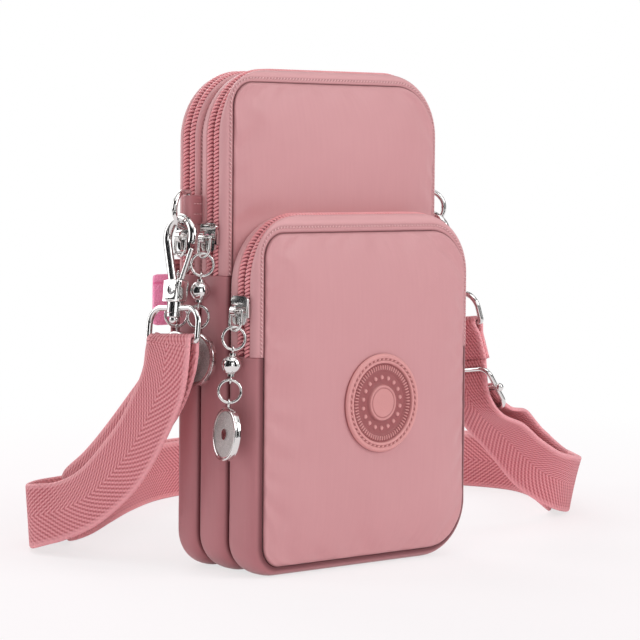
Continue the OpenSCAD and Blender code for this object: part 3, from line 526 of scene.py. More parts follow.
def ribbed_elastic():
    """Elastic: ribs across its width, each a cord wrapped in fine thread."""
    material, tree, at = start("ribbed_elastic", Sheen_Weight=0.25, Specular_IOR_Level=0.3)
    split = add(tree, "ShaderNodeSeparateXYZ", {0: at["UV"]}).outputs
    ribs = calc(tree, "ABSOLUTE", wave(tree, "SINE", split[1], 0.0016, np.pi))
    threads = use(tree, weave, Vector=at["UV"], Pitch=0.0006)
    cloud = use(tree, mottle, Vector=at["Object"], Scale=40.0)
    # Painted light and shade: lighter on the ribs' tops, darker in the hollows between them.
    ribbed = mixed(tree, ribs, sees(132, 70, 76), sees(190, 122, 126))
    colour = mixed(tree, times(tree, cloud["Cloud"], 0.3), ribbed, sees(164, 98, 102))
    height = calc(tree, "MULTIPLY_ADD", threads["Height"], 0.25, ribs)
    return done(material, colour, (0.55, 0.2, cloud["Grain"]), bump(tree, height, 0.0002))


# %% [markdown]
# The hard finishes are the nylon of the zips' teeth, polished nickel, the coins' grey enamel and the
# patch's soft plastic. Perfectly even metal looks drawn, so smudges and hairlines change its gloss.

# %% Hard finishes
def coil_nylon():
    """Moulded nylon of the zip's teeth: glossy, a little cloudy."""
    material, tree, at = start("coil_nylon", Specular_IOR_Level=0.55, Coat_Weight=0.15)
    cloud = use(tree, mottle, Vector=at["Object"], Scale=160.0)
    colour = mixed(tree, cloud["Cloud"], sees(240, 146, 152), sees(255, 192, 195))
    return done(material, colour, (0.28, 0.15, cloud["Grain"]), bump(tree, cloud["Grain"], 0.00002))


def plated_metal(name, colour, low, high, depth=0.0000012):
    """Nickel plate or spring steel: smudges change the gloss from low to high roughness, and hairlines
    scratch it."""
    material, tree, at = start(name, Metallic=1.0, Base_Color=colour)
    worn = use(tree, marks, Vector=at["Object"])
    share = times(tree, worn["Smudge"], worn["Smudge"])
    tone = mixed(tree, worn["Smudge"], [c * 0.86 for c in colour[:3]] + [1.0], colour)
    return done(material, tone, (low, 2 * (high - low), share), bump(tree, worn["Hairline"], depth))


def coin_enamel():
    """The coins' sunk face: grey, sand-blasted, with bright specks."""
    material, tree, at = start("coin_face_grey", Specular_IOR_Level=0.5)
    sand = add(tree, "ShaderNodeTexVoronoi", {"Vector": at["Object"], "Scale": 2600.0}).outputs["Distance"]
    cloud = use(tree, mottle, Vector=at["Object"], Scale=300.0)
    speckled = mixed(tree, sand, sees(128, 122, 121), sees(222, 216, 214))
    colour = mixed(tree, times(tree, cloud["Cloud"], 0.5), speckled, sees(158, 150, 148))
    metallic = calc(tree, "MULTIPLY_ADD", sand, 0.6, 0.25)
    tree.links.new(metallic, tree.nodes["Principled BSDF"].inputs["Metallic"])
    return done(material, colour, (0.3, 0.3, cloud["Grain"]), bump(tree, sand, 0.00008))


def patch_rubber():
    """Soft moulded plastic: even colour, with painted light on the parts that stand up and painted shade in
    the low ones, and a faint grain from the mould.
    """
    material, tree, at = start("patch_plastic", Specular_IOR_Level=0.42, Sheen_Weight=0.1)
    cloud = use(tree, mottle, Vector=at["Object"], Scale=90.0)
    # Painted light on the parts that stand up, painted shade in the low ones.
    moulded = mixed(tree, mask(tree, "raised"), sees(156, 86, 88), sees(224, 160, 158))
    colour = mixed(tree, times(tree, cloud["Cloud"], 0.2), moulded, sees(200, 134, 133))
    return done(material, colour, (0.38, 0.18, cloud["Grain"]), bump(tree, cloud["Grain"], 0.00005))


# %% The finishes
panel_satin = satin_cloth("panel_satin", sees(216, 161, 164), sees(203, 146, 149), sees(150, 92, 96))
# The same satin painted darker: painted shade for the gussets and ring tabs on the shaded sides.
satin_painted_darker = satin_cloth("satin_painted_darker", sees(197, 134, 138), sees(181, 118, 123), sees(108, 54, 59))
# The same satin painted lighter: painted light for the strips beside the zips.
satin_painted_lighter = satin_cloth("satin_painted_lighter", sees(228, 173, 175), sees(212, 156, 159), sees(150, 92, 96))
herringbone_webbing = strap_cloth()
zip_nylon = coil_nylon()
zip_tape_cloth = tape_cloth()
pale_thread = thread_cotton()
nickel = plated_metal("nickel_plate", (0.8, 0.78, 0.77, 1.0), 0.04, 0.13)
# Dark spring steel of the gate springs; on the rivet heads the same finish is painted shade.
spring_steel_and_rivet_shade = plated_metal("spring_steel_and_rivet_shade", (0.3, 0.29, 0.3, 1.0), 0.18, 0.35, 0.000004)
coin_grey = coin_enamel()
patch_plastic = patch_rubber()
loop_pile = fuzzy_loops()
elastic = ribbed_elastic()
print(len(bpy.data.materials), "materials from", len(bpy.data.node_groups), "shared groups")

# %% [markdown]
# The seams, gussets, facings and zips all run round the pouch's rounded outline. Each is the same
# kind of surface: a section, given as how far out from the seam and how deep, carried round that run.
# A curve with a bevel would do for a corner of one radius, but these change from front to back.

# %% Surfaces carried round the outline
side_steps = 26
arc_steps = 16
across_steps = 24


def run_round(width, z_end, z_far, right_r, left_r):
    """Points (x, z) up the right side, over two rounded corners and down the left side.
    A corner is its centre plus its radius times (cos, sin); the straights are shares of the way
    between. It turns downwards where z_far is below z_end. Sizes may be arrays, one run for each."""
    width, z_far, right_r, left_r = np.broadcast_arrays(width, z_far, right_r, left_r)
    up = np.sign(z_far - z_end).mean()
    share = np.linspace(0, 1, side_steps)[:, None]
    turn = np.linspace(0, np.pi / 2, arc_steps)[1:, None]
    flat = np.linspace(0, 1, across_steps)[1:, None]
    rise_right = z_end + share * (z_far - up * right_r - z_end)
    rise_left = z_end + share * (z_far - up * left_r - z_end)
    x = np.concatenate([
        width + 0 * share,
        width - right_r + right_r * np.cos(turn),
        (width - right_r) * (1 - flat) - (width - left_r) * flat,
        -(width - left_r) - left_r * np.sin(turn),
        -width - 0 * share[1:],
    ])
    z = np.concatenate([
        rise_right,
        z_far - up * right_r * (1 - np.sin(turn)),
        z_far + 0 * flat,
        z_far - up * left_r * (1 - np.cos(turn)),
        rise_left[::-1][1:],
    ])
    return np.stack([x, z], -1)


def carried(section, z_end, z_seam, right_r, left_r):
    """A section of [out from the seam, depth] points carried round a run of the seam line."""
    n, y = np.asarray(section, float).T
    up = np.sign(z_seam - z_end)
    flat = run_round(half_w + n, z_end, z_seam + up * n, right_r + n, left_r + n)
    return joined(flat[..., 0], y, flat[..., 1])


# %% [markdown]
# The strap is one length of 25 mm herringbone webbing. It turns over the left swivel ring, and both
# leaves run behind the pouch, one through the strap slider and one ending on the slider's bar. Each
# leaf is a flat band swept along its listed route, with its width direction at every point. A
# cloth simulation would lay it down too, but not in the course that this strap takes.

# %% Routes of the webbing, in millimetres, as in the part's source
outer_route = [
    [-71.5, 3.4, 86.2, 0, -10, 0.5], [-71.6, 4.2, 80, 0, -10, -1], [-70.3, 8.5, 69.5, 0, -10, -3],
    [-70, 17, 56.5, 0, -10, -3], [-70, 27, 44, 0, -10, -3], [-70, 39, 33.5, 0, -9, -3],
    [-71, 53, 23.5, -1, -8, -5], [-73, 68, 17, -2, -7, -7], [-75, 84, 13.5, -1, -3, -9],
    [-60, 100, 12.6, 0, 0, -10], [-36, 109, 12.6, 0, 0, -10], [-8, 132, 12.6, 0, 0, -10],
    [22, 157, 12.6, 0, 0, -10], [54, 178, 12.6, 0, 0, -10], [87, 187, 12.6, 0, 0, -10],
    [120, 187, 12.6, 0, 0, -10], [152, 179, 12.6, 0, 0, -10], [182, 160, 12.6, 0, 0, -10],
    [206, 132, 12.6, 0, 0, -10], [214, 98, 12.6, 0, 0, -10], [202, 68, 12.6, 0, 0, -10],
    [186, 43, 12.6, 0, 1, -10], [169, 23, 13.2, -1, 2, -10], [149, 11, 17, -2, 4, -9],
    [131, 7, 23.5, -1, 7, -7], [115, 4, 33, 1, 8, -5], [100, 1, 42.5, 1, 9, -4],
    [82.5, -4.3, 52.1, 1, 10, -1], [78, -3, 59.9, 1, 10, -1], [77.6, -1.8, 69.9, 1, 10, -1],
    [77.2, -1.3, 73.1, 0.3, 10, -1],
]
inner_route = [
    [-67.6, 3.4, 85.7, 0, -10, 0.5], [-67, 5.5, 79, 0, -10, -2], [-65.5, 14, 67, 0, -9, -4],
    [-64.5, 28, 54, 0, -9, -5], [-63, 44, 41, 0, -8, -6], [-62, 60, 30, -1, -7, -7],
    [-61, 76, 20, -1, -5, -9], [-52, 91, 13.5, -1, -2, -10], [-32, 103, 12.6, 0, 0, -10],
    [-4, 126, 12.6, 0, 0, -10], [26, 150, 12.6, 0, 0, -10], [57, 170, 12.6, 0, 0, -10],
    [88, 179, 12.6, 0, 0, -10], [119, 179, 12.6, 0, 0, -10], [149, 171, 12.6, 0, 0, -10],
    [177, 153, 12.6, 0, 0, -10], [198, 128, 12.6, 0, 0, -10], [206, 98, 12.6, 0, 0, -10],
    [195, 71, 12.6, 0, 0, -10], [180, 48, 12.6, 0, 1, -10], [164, 29, 13.4, -1, 2, -10],
    [147.6, 16, 19, -2, 4, -9], [132, 11, 27.5, -1, 7, -7], [117.6, 6.5, 37.5, 1, 8, -5],
    [103, 2.5, 47.5, 1, 9, -4], [86.4, -4.3, 54.9, 1, 10, -1], [80.9, -3, 61.9, 1, 10, -1],
]
strap_w = 25 * mm
strap_t = 1.5 * mm
edge_highlight_w = 1.2 * mm


# %% Webbing swept along a route
def smooth_route(route, steps=8):
    """Points and width directions along a route: the smooth curve through four points at a time,
    half of 2b + (c-a)t + (2a-5b+4c-d)t2 + (3b-a-3c+d)t3, for all spans at once."""
    route = np.asarray(route, float)
    ends = np.concatenate([route[:1], route, route[-1:]])
    a, b, c, d = (ends[k : len(ends) - 3 + k][:, None] for k in range(4))
    t = np.linspace(0, 1, steps, endpoint=False)[None, :, None]
    curve = 0.5 * (
        2 * b + (c - a) * t + (2 * a - 5 * b + 4 * c - d) * t**2 + (3 * b - a - 3 * c + d) * t**3
    )
    curve = np.concatenate([curve.reshape(-1, 6), route[-1:]])
    return curve[:, :3] * mm, curve[:, 3:]


def webbing_section(wide, thick):
    """Round a band's section as (across, thickness) points: flat faces with rounded, thinner edges."""
    flat = thick / 2
    across = wide / 2 - flat
    face = np.linspace(-across, across, 13)
    turn = np.linspace(-np.pi / 2, np.pi / 2, 5)[1:-1]
    edge = joined(across + flat * np.cos(turn), 0.8 * flat * np.sin(turn))
    return np.concatenate([joined(face, -flat), edge, joined(face[::-1], flat), -edge])


def webbing(name, places, widths, band_w=strap_w, band_t=strap_t):
    """A closed band: its section is carried along the places, square to the way they head. The map
    gives the length along the band and the distance from its middle line."""
    heading = unit(np.gradient(places, axis=0))
    wide = unit(widths - (widths * heading).sum(-1, keepdims=True) * heading)
    thick = np.cross(heading, wide)
    section = webbing_section(band_w, band_t)
    points = (
        places[:, None]
        + section[None, :, :1] * wide[:, None]
        + section[None, :, 1:] * thick[:, None]
    )
    length = way_along(places)
    piece = tube_piece(name, points, joined(length[:, None], section[None, :, 0]))
    # The band's outer edges are marked for a painted highlight.
    edge = np.abs(section[:, 0]) > band_w / 2 - edge_highlight_w
    keep_mask(piece, "painted_edge_highlight", np.broadcast_to(edge, points.shape[:2]))
    return piece, length[-1]


# %% The two leaves of the strap
def leaf(name, route, node):
    """One leaf of the strap on its route, standing for its node."""
    places, widths = smooth_route(route)
    piece, length = webbing(name, places, widths)
    belongs(piece, "pouch", herringbone_webbing, [node])
    print(name, round(length / mm), "mm long")
    return piece, places, widths, length


outer_leaf, outer_places, outer_widths, outer_length = leaf(
    "webbing_outer_leaf", outer_route, "strap_outer_leaf"
)
inner_leaf, inner_places, inner_widths, inner_length = leaf(
    "webbing_inner_leaf", inner_route, "strap_inner_leaf"
)

# %% [markdown]
# Where the webbing turns over a swivel ring's bar it is the same band on a tight bend. It runs on a
# little way inside both leaves, a hair thinner than they are, so that no gap shows where they twist. On
# the right the strap's end is folded over the ring and sewn to itself.

# %% The hooks' own frames, as in the part's source
left_hook_place = Vector((-64.07, 5.65, 127.78)) * mm
left_hook_lean = Euler(np.radians([-3, 7.5, 0]))
right_hook_place = Vector((63.26, 4.18, 127.78)) * mm
right_hook_lean = Euler(np.radians([-6, -14.5, 0]))
swivel_bar_drop = 42 * mm
bar_r = 1.1 * mm
turn_r = bar_r + 0.15 * mm + strap_t / 2


def hook_frame(points, place, lean):
    """Points in a hook's own frame, moved to the hook's place and lean."""
    turn = np.array(lean.to_matrix())
    return points @ turn.T + np.array(place)


def over_bar(across, down, place, lean):
    """A path given as (across, down) from a swivel ring's bar, with the band's width along the bar."""
    path = joined(across, 0, down - swivel_bar_drop)
    turn = np.array(lean.to_matrix())
    width = np.broadcast_to(turn @ np.array([0, 1, 0]), path.shape)
    return hook_frame(path, place, lean), width


# %% Turn over the left ring, and the sewn end over the right one
bend = np.linspace(np.pi, 0, 17)
turn_leg = 0.75 * mm
turn_thinner = 0.06 * mm
turn_across = np.concatenate([[-turn_r], turn_r * np.cos(bend), [turn_r]])
turn_down = np.concatenate([[-turn_leg], turn_r * np.sin(bend), [-turn_leg]])
places, widths = over_bar(turn_across, turn_down, left_hook_place, left_hook_lean)
places = np.concatenate([outer_places[[4, 2]], places, inner_places[[2, 4]]])
widths = np.concatenate([-outer_widths[[4, 2]], widths, -inner_widths[[2, 4]]])
strap_turn_piece, _ = webbing("webbing_turn", places, widths, band_t=strap_t - turn_thinner)
belongs(strap_turn_piece, "pouch", herringbone_webbing, ["strap_turn"])

end_drop = 15 * mm
neck_drop = 5 * mm
fall = np.linspace(1, 0, 12)
close = 0.5 - 0.5 * np.cos(np.pi * np.clip(fall * end_drop / neck_drop, 0, 1))
leg_across = turn_r + (strap_t / 2 * 1.02 - turn_r) * close
end_across = np.concatenate([-leg_across[:-1], turn_r * np.cos(bend), leg_across[::-1][1:]])
end_down = np.concatenate([-end_drop * fall[:-1], turn_r * np.sin(bend), -end_drop * fall[::-1][1:]])
places, widths = over_bar(end_across, end_down, right_hook_place, right_hook_lean)
end_loop_piece, _ = webbing("webbing_end_loop", places, widths)
belongs(end_loop_piece, "pouch", herringbone_webbing, ["strap_end_loop"])

# %% [markdown]
# A panel is satin laid over foam and sewn in round its edge. Close to the seam it rolls up steeply, and
# from there it crowns slowly to the middle. The seam's stitches pull small puckers into it. Blender's
# cloth then swells each panel a little between its sewn edges, as the foam does. The formula keeps the
# edge exactly on its seam, which sculpting would not.

# %% Form of a panel
roll_in = 1.6 * mm
crown_in = 32 * mm
pucker_in = 2 * mm
pucker_depth = 0.07 * mm


def panel_grid(high, right_r, left_r, low_r, rows=60, columns=46):
    """Points (x, z) of a grid that fills a rounded rectangle: a row reaches from the left edge to the
    right edge at its height, and rows crowd where the corners turn."""
    quarter = np.linspace(0, np.pi / 2, 14)
    low_part = seam_low + bottom_r * (1 - np.cos(quarter))
    biggest = max(right_r, left_r)
    top_part = high - biggest * (1 - np.cos(quarter[::-1]))
    middle = np.linspace(low_part[-1], top_part[0], rows)[1:-1]
    z = np.concatenate([low_part, middle, top_part])

    def edge(r, low):
        """Half width at each height: full, less what the corners' circles cut off."""
        over = np.clip(z - (high - r), 0, r)
        under = np.clip(seam_low + low - z, 0, low)
        return half_w - (r - np.sqrt(r**2 - over**2)) - (low - np.sqrt(low**2 - under**2))

    share = 0.5 - 0.5 * np.cos(np.linspace(0, np.pi, columns))[None, :]
    x = edge(right_r, bottom_r)[:, None] * share - edge(left_r, low_r)[:, None] * (1 - share)
    return x, np.broadcast_to(z[:, None], x.shape)


def seam_distance(x, z, high, right_r, left_r, low_r):
    """Distance inwards from the rounded outline: the usual formula of a rounded box, with the radius
    of the corner that the point is nearest to."""
    middle_z = (high + seam_low) / 2
    upper = np.where(x > 0, right_r, left_r)
    lower = np.where(x > 0, bottom_r, low_r)
    r = np.where(z > middle_z, upper, lower)
    qx = np.abs(x) - (half_w - r)
    qz = np.abs(z - middle_z) - ((high - seam_low) / 2 - r)
    outside = np.hypot(np.maximum(qx, 0), np.maximum(qz, 0))
    return np.clip(r - outside - np.minimum(np.maximum(qx, qz), 0), 0, None)


def crown_height(distance, crown):
    """A quarter of the crown along a quarter ellipse close to the seam, the rest along a quarter of a
    sine wave that ends well inside the panel."""
    steep = np.sqrt(1 - np.clip(1 - distance / roll_in, 0, 1) ** 2)
    slow = np.sin(np.pi / 2 * np.clip(distance / crown_in, 0, 1))
    return crown * (0.25 * steep + 0.75 * slow)


def puckers(x, z, distance):
    """Two crossing waves, about 6 and 8 mm long, deepest a little way from the seam, that fade
    inwards: their depth goes with d times e to the power 1 - d, where d counts that way."""
    waves = np.sin(2 * np.pi * (x + 1.2 * z) / (13 * mm)) + np.sin(2 * np.pi * (1.1 * x - z) / (9 * mm))
    near = distance / pucker_in * np.exp(1 - distance / pucker_in)
    return pucker_depth * waves * near


# %% Wall and swell
def thicken(piece, thick, level=0):
    """Gives a sheet its wall, inwards from its outer face, and smooths it."""
    solid = piece.modifiers.new("thickness", "SOLIDIFY")
    solid.thickness = thick
    solid.offset = -1
    if level:
        smooth = piece.modifiers.new("smooth", "SUBSURF")
        smooth.levels = smooth.render_levels = level


def swell(piece, edge, growth=0.012, push=4.0, cap=0.8 * mm, frames=20):
    """Runs cloth under pressure with the edge held, moves each point by cap times tanh(way / cap), so
    that none goes further than the cap, and leaves no Cloth behind."""
    held = piece.vertex_groups.new(name="sewn")
    held.add(np.flatnonzero(edge.ravel()).tolist(), 1.0, "REPLACE")
    cloth = piece.modifiers.new("cloth", "CLOTH")
    cloth.settings.vertex_group_mass = "sewn"
    cloth.settings.shrink_min = -growth
    cloth.settings.use_pressure = True
    cloth.settings.uniform_pressure_force = push
    cloth.settings.bending_stiffness = 0.8
    cloth.settings.effector_weights.gravity = 0
    cloth.point_cache.frame_start = 1
    cloth.point_cache.frame_end = frames
    for step in range(1, frames + 1):
        scene.frame_set(step)
    now = piece.evaluated_get(bpy.context.evaluated_depsgraph_get()).data
    before = np.zeros(len(piece.data.vertices) * 3, np.float32)
    after = np.zeros_like(before)
    piece.data.vertices.foreach_get("co", before)
    now.vertices.foreach_get("co", after)
    way = (after - before).reshape(-1, 3)
    far = np.linalg.norm(way, axis=1, keepdims=True) + 1e-9
    moved = before.reshape(-1, 3) + way / far * cap * np.tanh(far / cap)
    piece.modifiers.remove(cloth)
    piece.vertex_groups.remove(held)
    piece.data.vertices.foreach_set("co", moved.astype(np.float32).ravel())
    piece.data.update()
    scene.frame_set(1)
    print(piece.name, "swelled by", round(float(far.mean()) / mm, 2), "mm on average")


# %% Panels
sewn_w = 0.4 * mm


def panel(name, node, y_seam, high, crown, facing, right_r, left_r, low_r):
    """A crowned panel that faces the front (-1) or the back (+1). The radii are those of its two top
    corners and of its lower left one."""
    x, z = panel_grid(high, right_r, left_r, low_r)
    distance = seam_distance(x, z, high, right_r, left_r, low_r)
    height = crown_height(distance, crown) + puckers(x, z, distance)
    metre_behind = (0, y_seam - facing, high / 2)
    piece = sheet_piece(name, joined(x, y_seam + facing * height, z), metre_behind)
    # Painted shade along the seam, where the panel rolls down into its groove.
    keep_mask(piece, "painted_groove_shade", np.clip(1 - distance / painted_shade_w, 0, 1))
    if crown > 0:
        swell(piece, distance < sewn_w)
    thicken(piece, wall, 1)
    belongs(piece, "pouch", panel_satin, [node])


panel(
    "pocket_panel_fabric", "pocket_front_panel", pocket_front_y, pocket_seam, panel_crown, -1,
    *top_corners["pocket"], pocket_low_r,
)
panel(
    "main_panel_fabric", "main_front_panel", main_front_y, tall_seam, panel_crown, -1,
    *top_corners["middle"], main_low_r,
)
panel(
    "back_panel_fabric", "back_panel", rear_back_y, tall_seam, panel_crown - 1 * mm, 1,
    *top_corners["rear"], rear_low_r,
)
panel(
    "divider_fabric", "divider_panel", middle_back_y, tall_seam, 0, -1, *top_corners["rear"], rear_low_r
)
print("four panels, the padded ones", round(panel_crown / mm, 1), "mm high")

# %% [markdown]
# A gusset is a band of the same satin between two panels. Sewn into a groove at both seams, it puffs
# out between them. Where it ends under a zip its edge is folded in, which shows as a straight, rounded
# hem.

# %% Gussets
hem_r = 0.75 * mm
hem_deep = 3 * mm
gusset_wall = 0.5 * mm
crease_depth = 0.09 * mm
crease_from = 22 * mm


def puff_section(y0, y1, high, power=2.6, steps=24):
    """Across a puffed band: out = high times sin to the power 2/p, depth = cos to the power 2/p."""
    t = np.linspace(0, np.pi, steps)
    half = (y1 - y0) / 2
    depth = signed_power(np.cos(t), 2 / power)
    return joined(high * np.sin(t) ** (2 / power), (y0 + y1) / 2 - half * depth)


def hemmed(points, middle_y):
    """Adds a half-round fold at both ends: each end row goes on up and inwards by hem_r times
    (sin, 1 - cos), then a little way down inside."""
    rows = []
    for end in (points[0], points[-1]):
        inwards = unit(joined(-np.sign(end[:, 0]), (middle_y - end[:, 1]) / (10 * mm), 0))
        fold = []
        for turn in np.radians([30, 60, 90, 120, 150, 180]):
            fold.append(end + inwards * hem_r * (1 - np.cos(turn)) + [0, 0, hem_r * np.sin(turn)])
        fold.append(fold[-1] - [0, 0, hem_deep])
        rows.append(np.array(fold))
    return np.concatenate([rows[0][::-1], points, rows[1]])


def gusset(name, node, y0, y1, front_r, back_r):
    """A puffed band round the base and up both sides to where the zip starts. Its lower left corner
    goes from one seam's radius to the other's. Above the base two slow waves crease it."""
    box = span(node)
    high = box[1][0] - half_w
    section = puff_section(y0, y1, high)
    left_r = front_r + (back_r - front_r) * (section[:, 1] - y0) / (y1 - y0)
    points = carried(section, box[1][2] - hem_r, seam_low, bottom_r, left_r)
    along = np.linspace(0, 1, len(points))[:, None]
    share = (section[None, :, 0] / high).clip(0, 1)
    creased = np.sin(along * 61 + 3 * share) + np.sin(along * 37 - 2 * share + 1)
    dent = crease_depth * (2 + creased) * share * (points[..., 2] > crease_from)
    points[..., 0] -= np.sign(points[..., 0]) * dent
    points = hemmed(points, (y0 + y1) / 2)
    piece = sheet_piece(name, points, (0, (y0 + y1) / 2, box[1][2]))
    edge = np.minimum(section[:, 1] - y0, y1 - section[:, 1])
    # Painted shade along both seams of the gusset.
    keep_mask(piece, "painted_groove_shade", np.broadcast_to(np.clip(1 - edge / painted_shade_w, 0, 1), points.shape[:2]))
    thicken(piece, gusset_wall)
    belongs(piece, "pouch", satin_painted_darker, [node])


pocket_back_y = main_front_y - wall
gusset("pocket_gusset_fabric", "pocket_gusset", pocket_front_y, pocket_back_y, pocket_low_r, main_low_r)
gusset("middle_gusset_fabric", "middle_gusset", main_front_y, middle_back_y, main_low_r, rear_low_r)
gusset("rear_gusset_fabric", "rear_gusset", rear_front_y, rear_back_y, rear_low_r, rear_low_r)
print("three gussets, hems", round(2 * hem_r / mm, 1), "mm thick")

# %% [markdown]
# Above the gusset each compartment opens with a zip: two strips of satin, folded over the zip's
# tapes, and between them the two rows of the coil. A row of fine slanted stitches holds each strip
# beside its seam. The teeth are real shapes, since a bump would be flat where they stand against the
# white: short loops of nylon, one row half a step ahead of the other.
# Along the top, where the fabric is pulled up by the zip, the strips stand a little higher than at the
# sides.

# %% Facings and their stitches
def closed_band(name, section, z_end, z_seam, right_r, left_r):
    """A closed section carried over the top from one end of a zip to the other, with capped ends."""
    points = carried(section, z_end, z_seam, right_r, left_r)
    return tube_piece(name, points, run_lengths(points)), points


stitch_in = 1.1 * mm
top_lift = {"pocket": 3.2 * mm, "middle": 1.4 * mm, "rear": 0.8 * mm}


def facing_section(y_seam, y_edge, high, steps=20):
    """Out from a seam, over to the folded edge beside the coil, round the fold, and back inside: the
    outer face is a superellipse, the fold a half circle, and the inner face runs a wall's thickness
    within. Also gives the share of painted shade at each point, full in the seam and half along its
    stitches, and where the stitches run."""
    side = np.sign(y_edge - y_seam)
    fold_r = wall / 2
    t = np.linspace(0, 1, steps) ** 1.4 * np.pi / 2
    reach = y_edge - side * fold_r - y_seam
    outer = joined(high * np.sin(t) ** 0.8, y_seam + reach * (1 - np.cos(t) ** 0.9))
    a = np.linspace(0, np.pi, 7)[1:-1]
    fold = joined(high - fold_r * (1 - np.cos(a)), y_edge - side * fold_r * (1 - np.sin(a)))
    inner_y = y_seam + side * 0.3 * mm + reach * (1 - np.cos(t) ** 0.9)
    inner = joined((high - wall) * np.sin(t) ** 0.8, inner_y)
    section = np.concatenate([outer, fold, inner[::-1]])
    away = way_along(section)
    # Painted shade: full at the seam, fading within half a millimetre, and half again along the stitch
    # line.
    sunk = np.clip(1 - away / (0.5 * mm), 0, 1) + 0.5 * np.exp(-(((away - stitch_in) / (0.45 * mm)) ** 2))
    return section, np.clip(sunk, 0, 1), int(np.argmin(np.abs(away - stitch_in)))


def facings(zip_name, y0, y1, z_seam, right_r, left_r):
    """Both fabric strips of a zip, and the row of stitches along each one's seam."""
    box = span(zip_name + "_zip_facing")
    coil = span(zip_name + "_zip_coils")
    high = box[1][0] - half_w
    for part, y_seam, y_edge in (("front", y0, coil[0][1]), ("back", y1, coil[1][1])):
        section, near, pick = facing_section(y_seam, y_edge, high)
        first_r, second_r = (right_r, left_r) if part == "front" else (top_r, top_r)
        share = np.clip(np.abs(section[:, 1] - y_seam) / abs(y_edge - y_seam), 0, 1)
        radii = first_r + (top_r - first_r) * share, second_r + (top_r - second_r) * share
        raised_seam = z_seam + top_lift[zip_name] * np.clip(section[:, 0] / high, 0, 1)
        piece, points = closed_band(f"{zip_name}_facing_{part}", section, box[0][2], raised_seam, *radii)
        keep_mask(piece, "painted_groove_shade", np.broadcast_to(near, points.shape[:2]))
        replaced = [zip_name + "_zip_facing"] if part == "front" else []
        belongs(piece, "pouch", satin_painted_lighter, replaced)
        line = points[:, pick]
        outwards = np.cross(np.gradient(line, axis=0), points[:, pick + 1] - points[:, pick - 1])
        outwards *= np.sign((outwards * (line - [0, line[0][1], box[0][2]])).sum())
        stitch_row(
            f"{zip_name}_stitches_{part}", line, outwards, pale_thread,
            pitch=1.5 * mm, share=0.9, thick=0.5 * mm, slant=0.6,
        )


# %% Tapes, teeth and cords
tooth_pitch = 1.4 * mm
tooth_wire = 0.5 * mm
tooth_lean = 0.7 * mm


def zip_sizes(zip_name):
    """The box of a zip's rows, how far out its tape reaches, and the depth of its middle."""
    box = span(zip_name + "_zip_coils")
    base = span(zip_name + "_zip_tape")[1][0] - half_w
    return box, base, (box[0][1] + box[1][1]) / 2


def tape(zip_name, z_seam):
    """The woven tape under a zip's rows: a flat closed strip, whose edges are half round."""
    box = span(zip_name + "_zip_tape")
    top = box[1][0] - half_w
    half_t = 0.3 * mm
    round_edge = np.linspace(-np.pi / 2, np.pi / 2, 5)
    edge = joined(half_t * np.sin(round_edge), half_t * np.cos(round_edge))
    front = joined(top - half_t + edge[::-1, 0], box[0][1] + half_t - edge[::-1, 1])
    back = joined(top - half_t + edge[:, 0], box[1][1] - half_t + edge[:, 1])
    piece, _ = closed_band(
        f"{zip_name}_tape_strip", np.concatenate([back, front]), box[0][2], z_seam, top_r, top_r
    )
    belongs(piece, "pouch", zip_tape_cloth, [zip_name + "_zip_tape"])


def tooth_shape(row_w, high):
    """One tooth as a bent tube in (along, out, across): an arch over the row whose wire thins at its
    ends, leaning along the zip from its outer foot to its head in the middle."""
    t = np.radians(np.linspace(-8, 188, 8))[:, None]
    around = circle(6)[None, :]
    rise = high - tooth_wire
    reach = row_w / 2 - tooth_wire * 0.6
    wire_r = tooth_wire * (0.82 + 0.18 * np.sin(t))
    along = tooth_lean * np.cos(t) + wire_r * np.cos(around) * 1.1
    out = rise * np.sin(t) + wire_r * np.sin(around) * np.sin(t)
    across = reach * np.cos(t) + wire_r * np.sin(around) * np.cos(t)
    return joined(along, out, across)


def teeth(zip_name, z_seam):
    """Every tooth of a zip in one mesh: the tooth's shape placed at each step of both rows, and turned
    over from one row to the other."""
    box, base, middle = zip_sizes(zip_name)
    row_w = 2.8 * mm
    line = carried([[base, middle]], box[0][2], z_seam, top_r, top_r)[:, 0]
    heading = unit(np.gradient(line, axis=0))
    outwards = joined(heading[:, 2], 0, -heading[:, 0])
    place, head, out = evenly(line, outwards, tooth_pitch / 2)
    shift = np.array([0, box[1][1] - middle - row_w / 2, 0])
    first = np.arange(len(place)) % 2 == 0
    place = np.where(first[:, None], place - shift, place + shift)
    head = np.where(first[:, None], head, -head)
    shape = tooth_shape(row_w, box[1][0] - half_w - base)
    piece = repeated(f"{zip_name}_zip_teeth", shape, place, head, out)
    return belongs(piece, "pouch", zip_nylon, [zip_name + "_zip_coils"])


def cords(zip_name, z_seam):
    """The sewn cord that each row of teeth is wound on, as a low arch."""
    box, base, middle = zip_sizes(zip_name)
    high = (box[1][0] - half_w - base) * 0.7
    edge = box[1][1] - middle
    gap = 0.35 * mm
    t = np.linspace(0, np.pi, 9)
    for part, side in (("front", -1), ("back", 1)):
        depth = middle + side * (edge + gap) / 2 - (edge - gap) / 2 * np.cos(t)
        section = joined(base + high * np.sin(t), depth)
        piece, _ = closed_band(f"{zip_name}_zip_cord_{part}", section, box[0][2], z_seam, top_r, top_r)
        belongs(piece, "pouch", zip_tape_cloth)


for zip_name, y0, y1, z_seam in (
    ("pocket", pocket_front_y, pocket_back_y, pocket_seam),
    ("middle", main_front_y, middle_back_y, tall_seam),
    ("rear", rear_front_y, rear_back_y, tall_seam),
):
    z_zip = z_seam + top_lift[zip_name]
    facings(zip_name, y0, y1, z_seam, *top_corners[zip_name])
    tape(zip_name, z_zip)
    row = teeth(zip_name, z_zip)
    cords(zip_name, z_zip)
    print(zip_name, "zip:", len(row.data.polygons), "faces in its teeth")

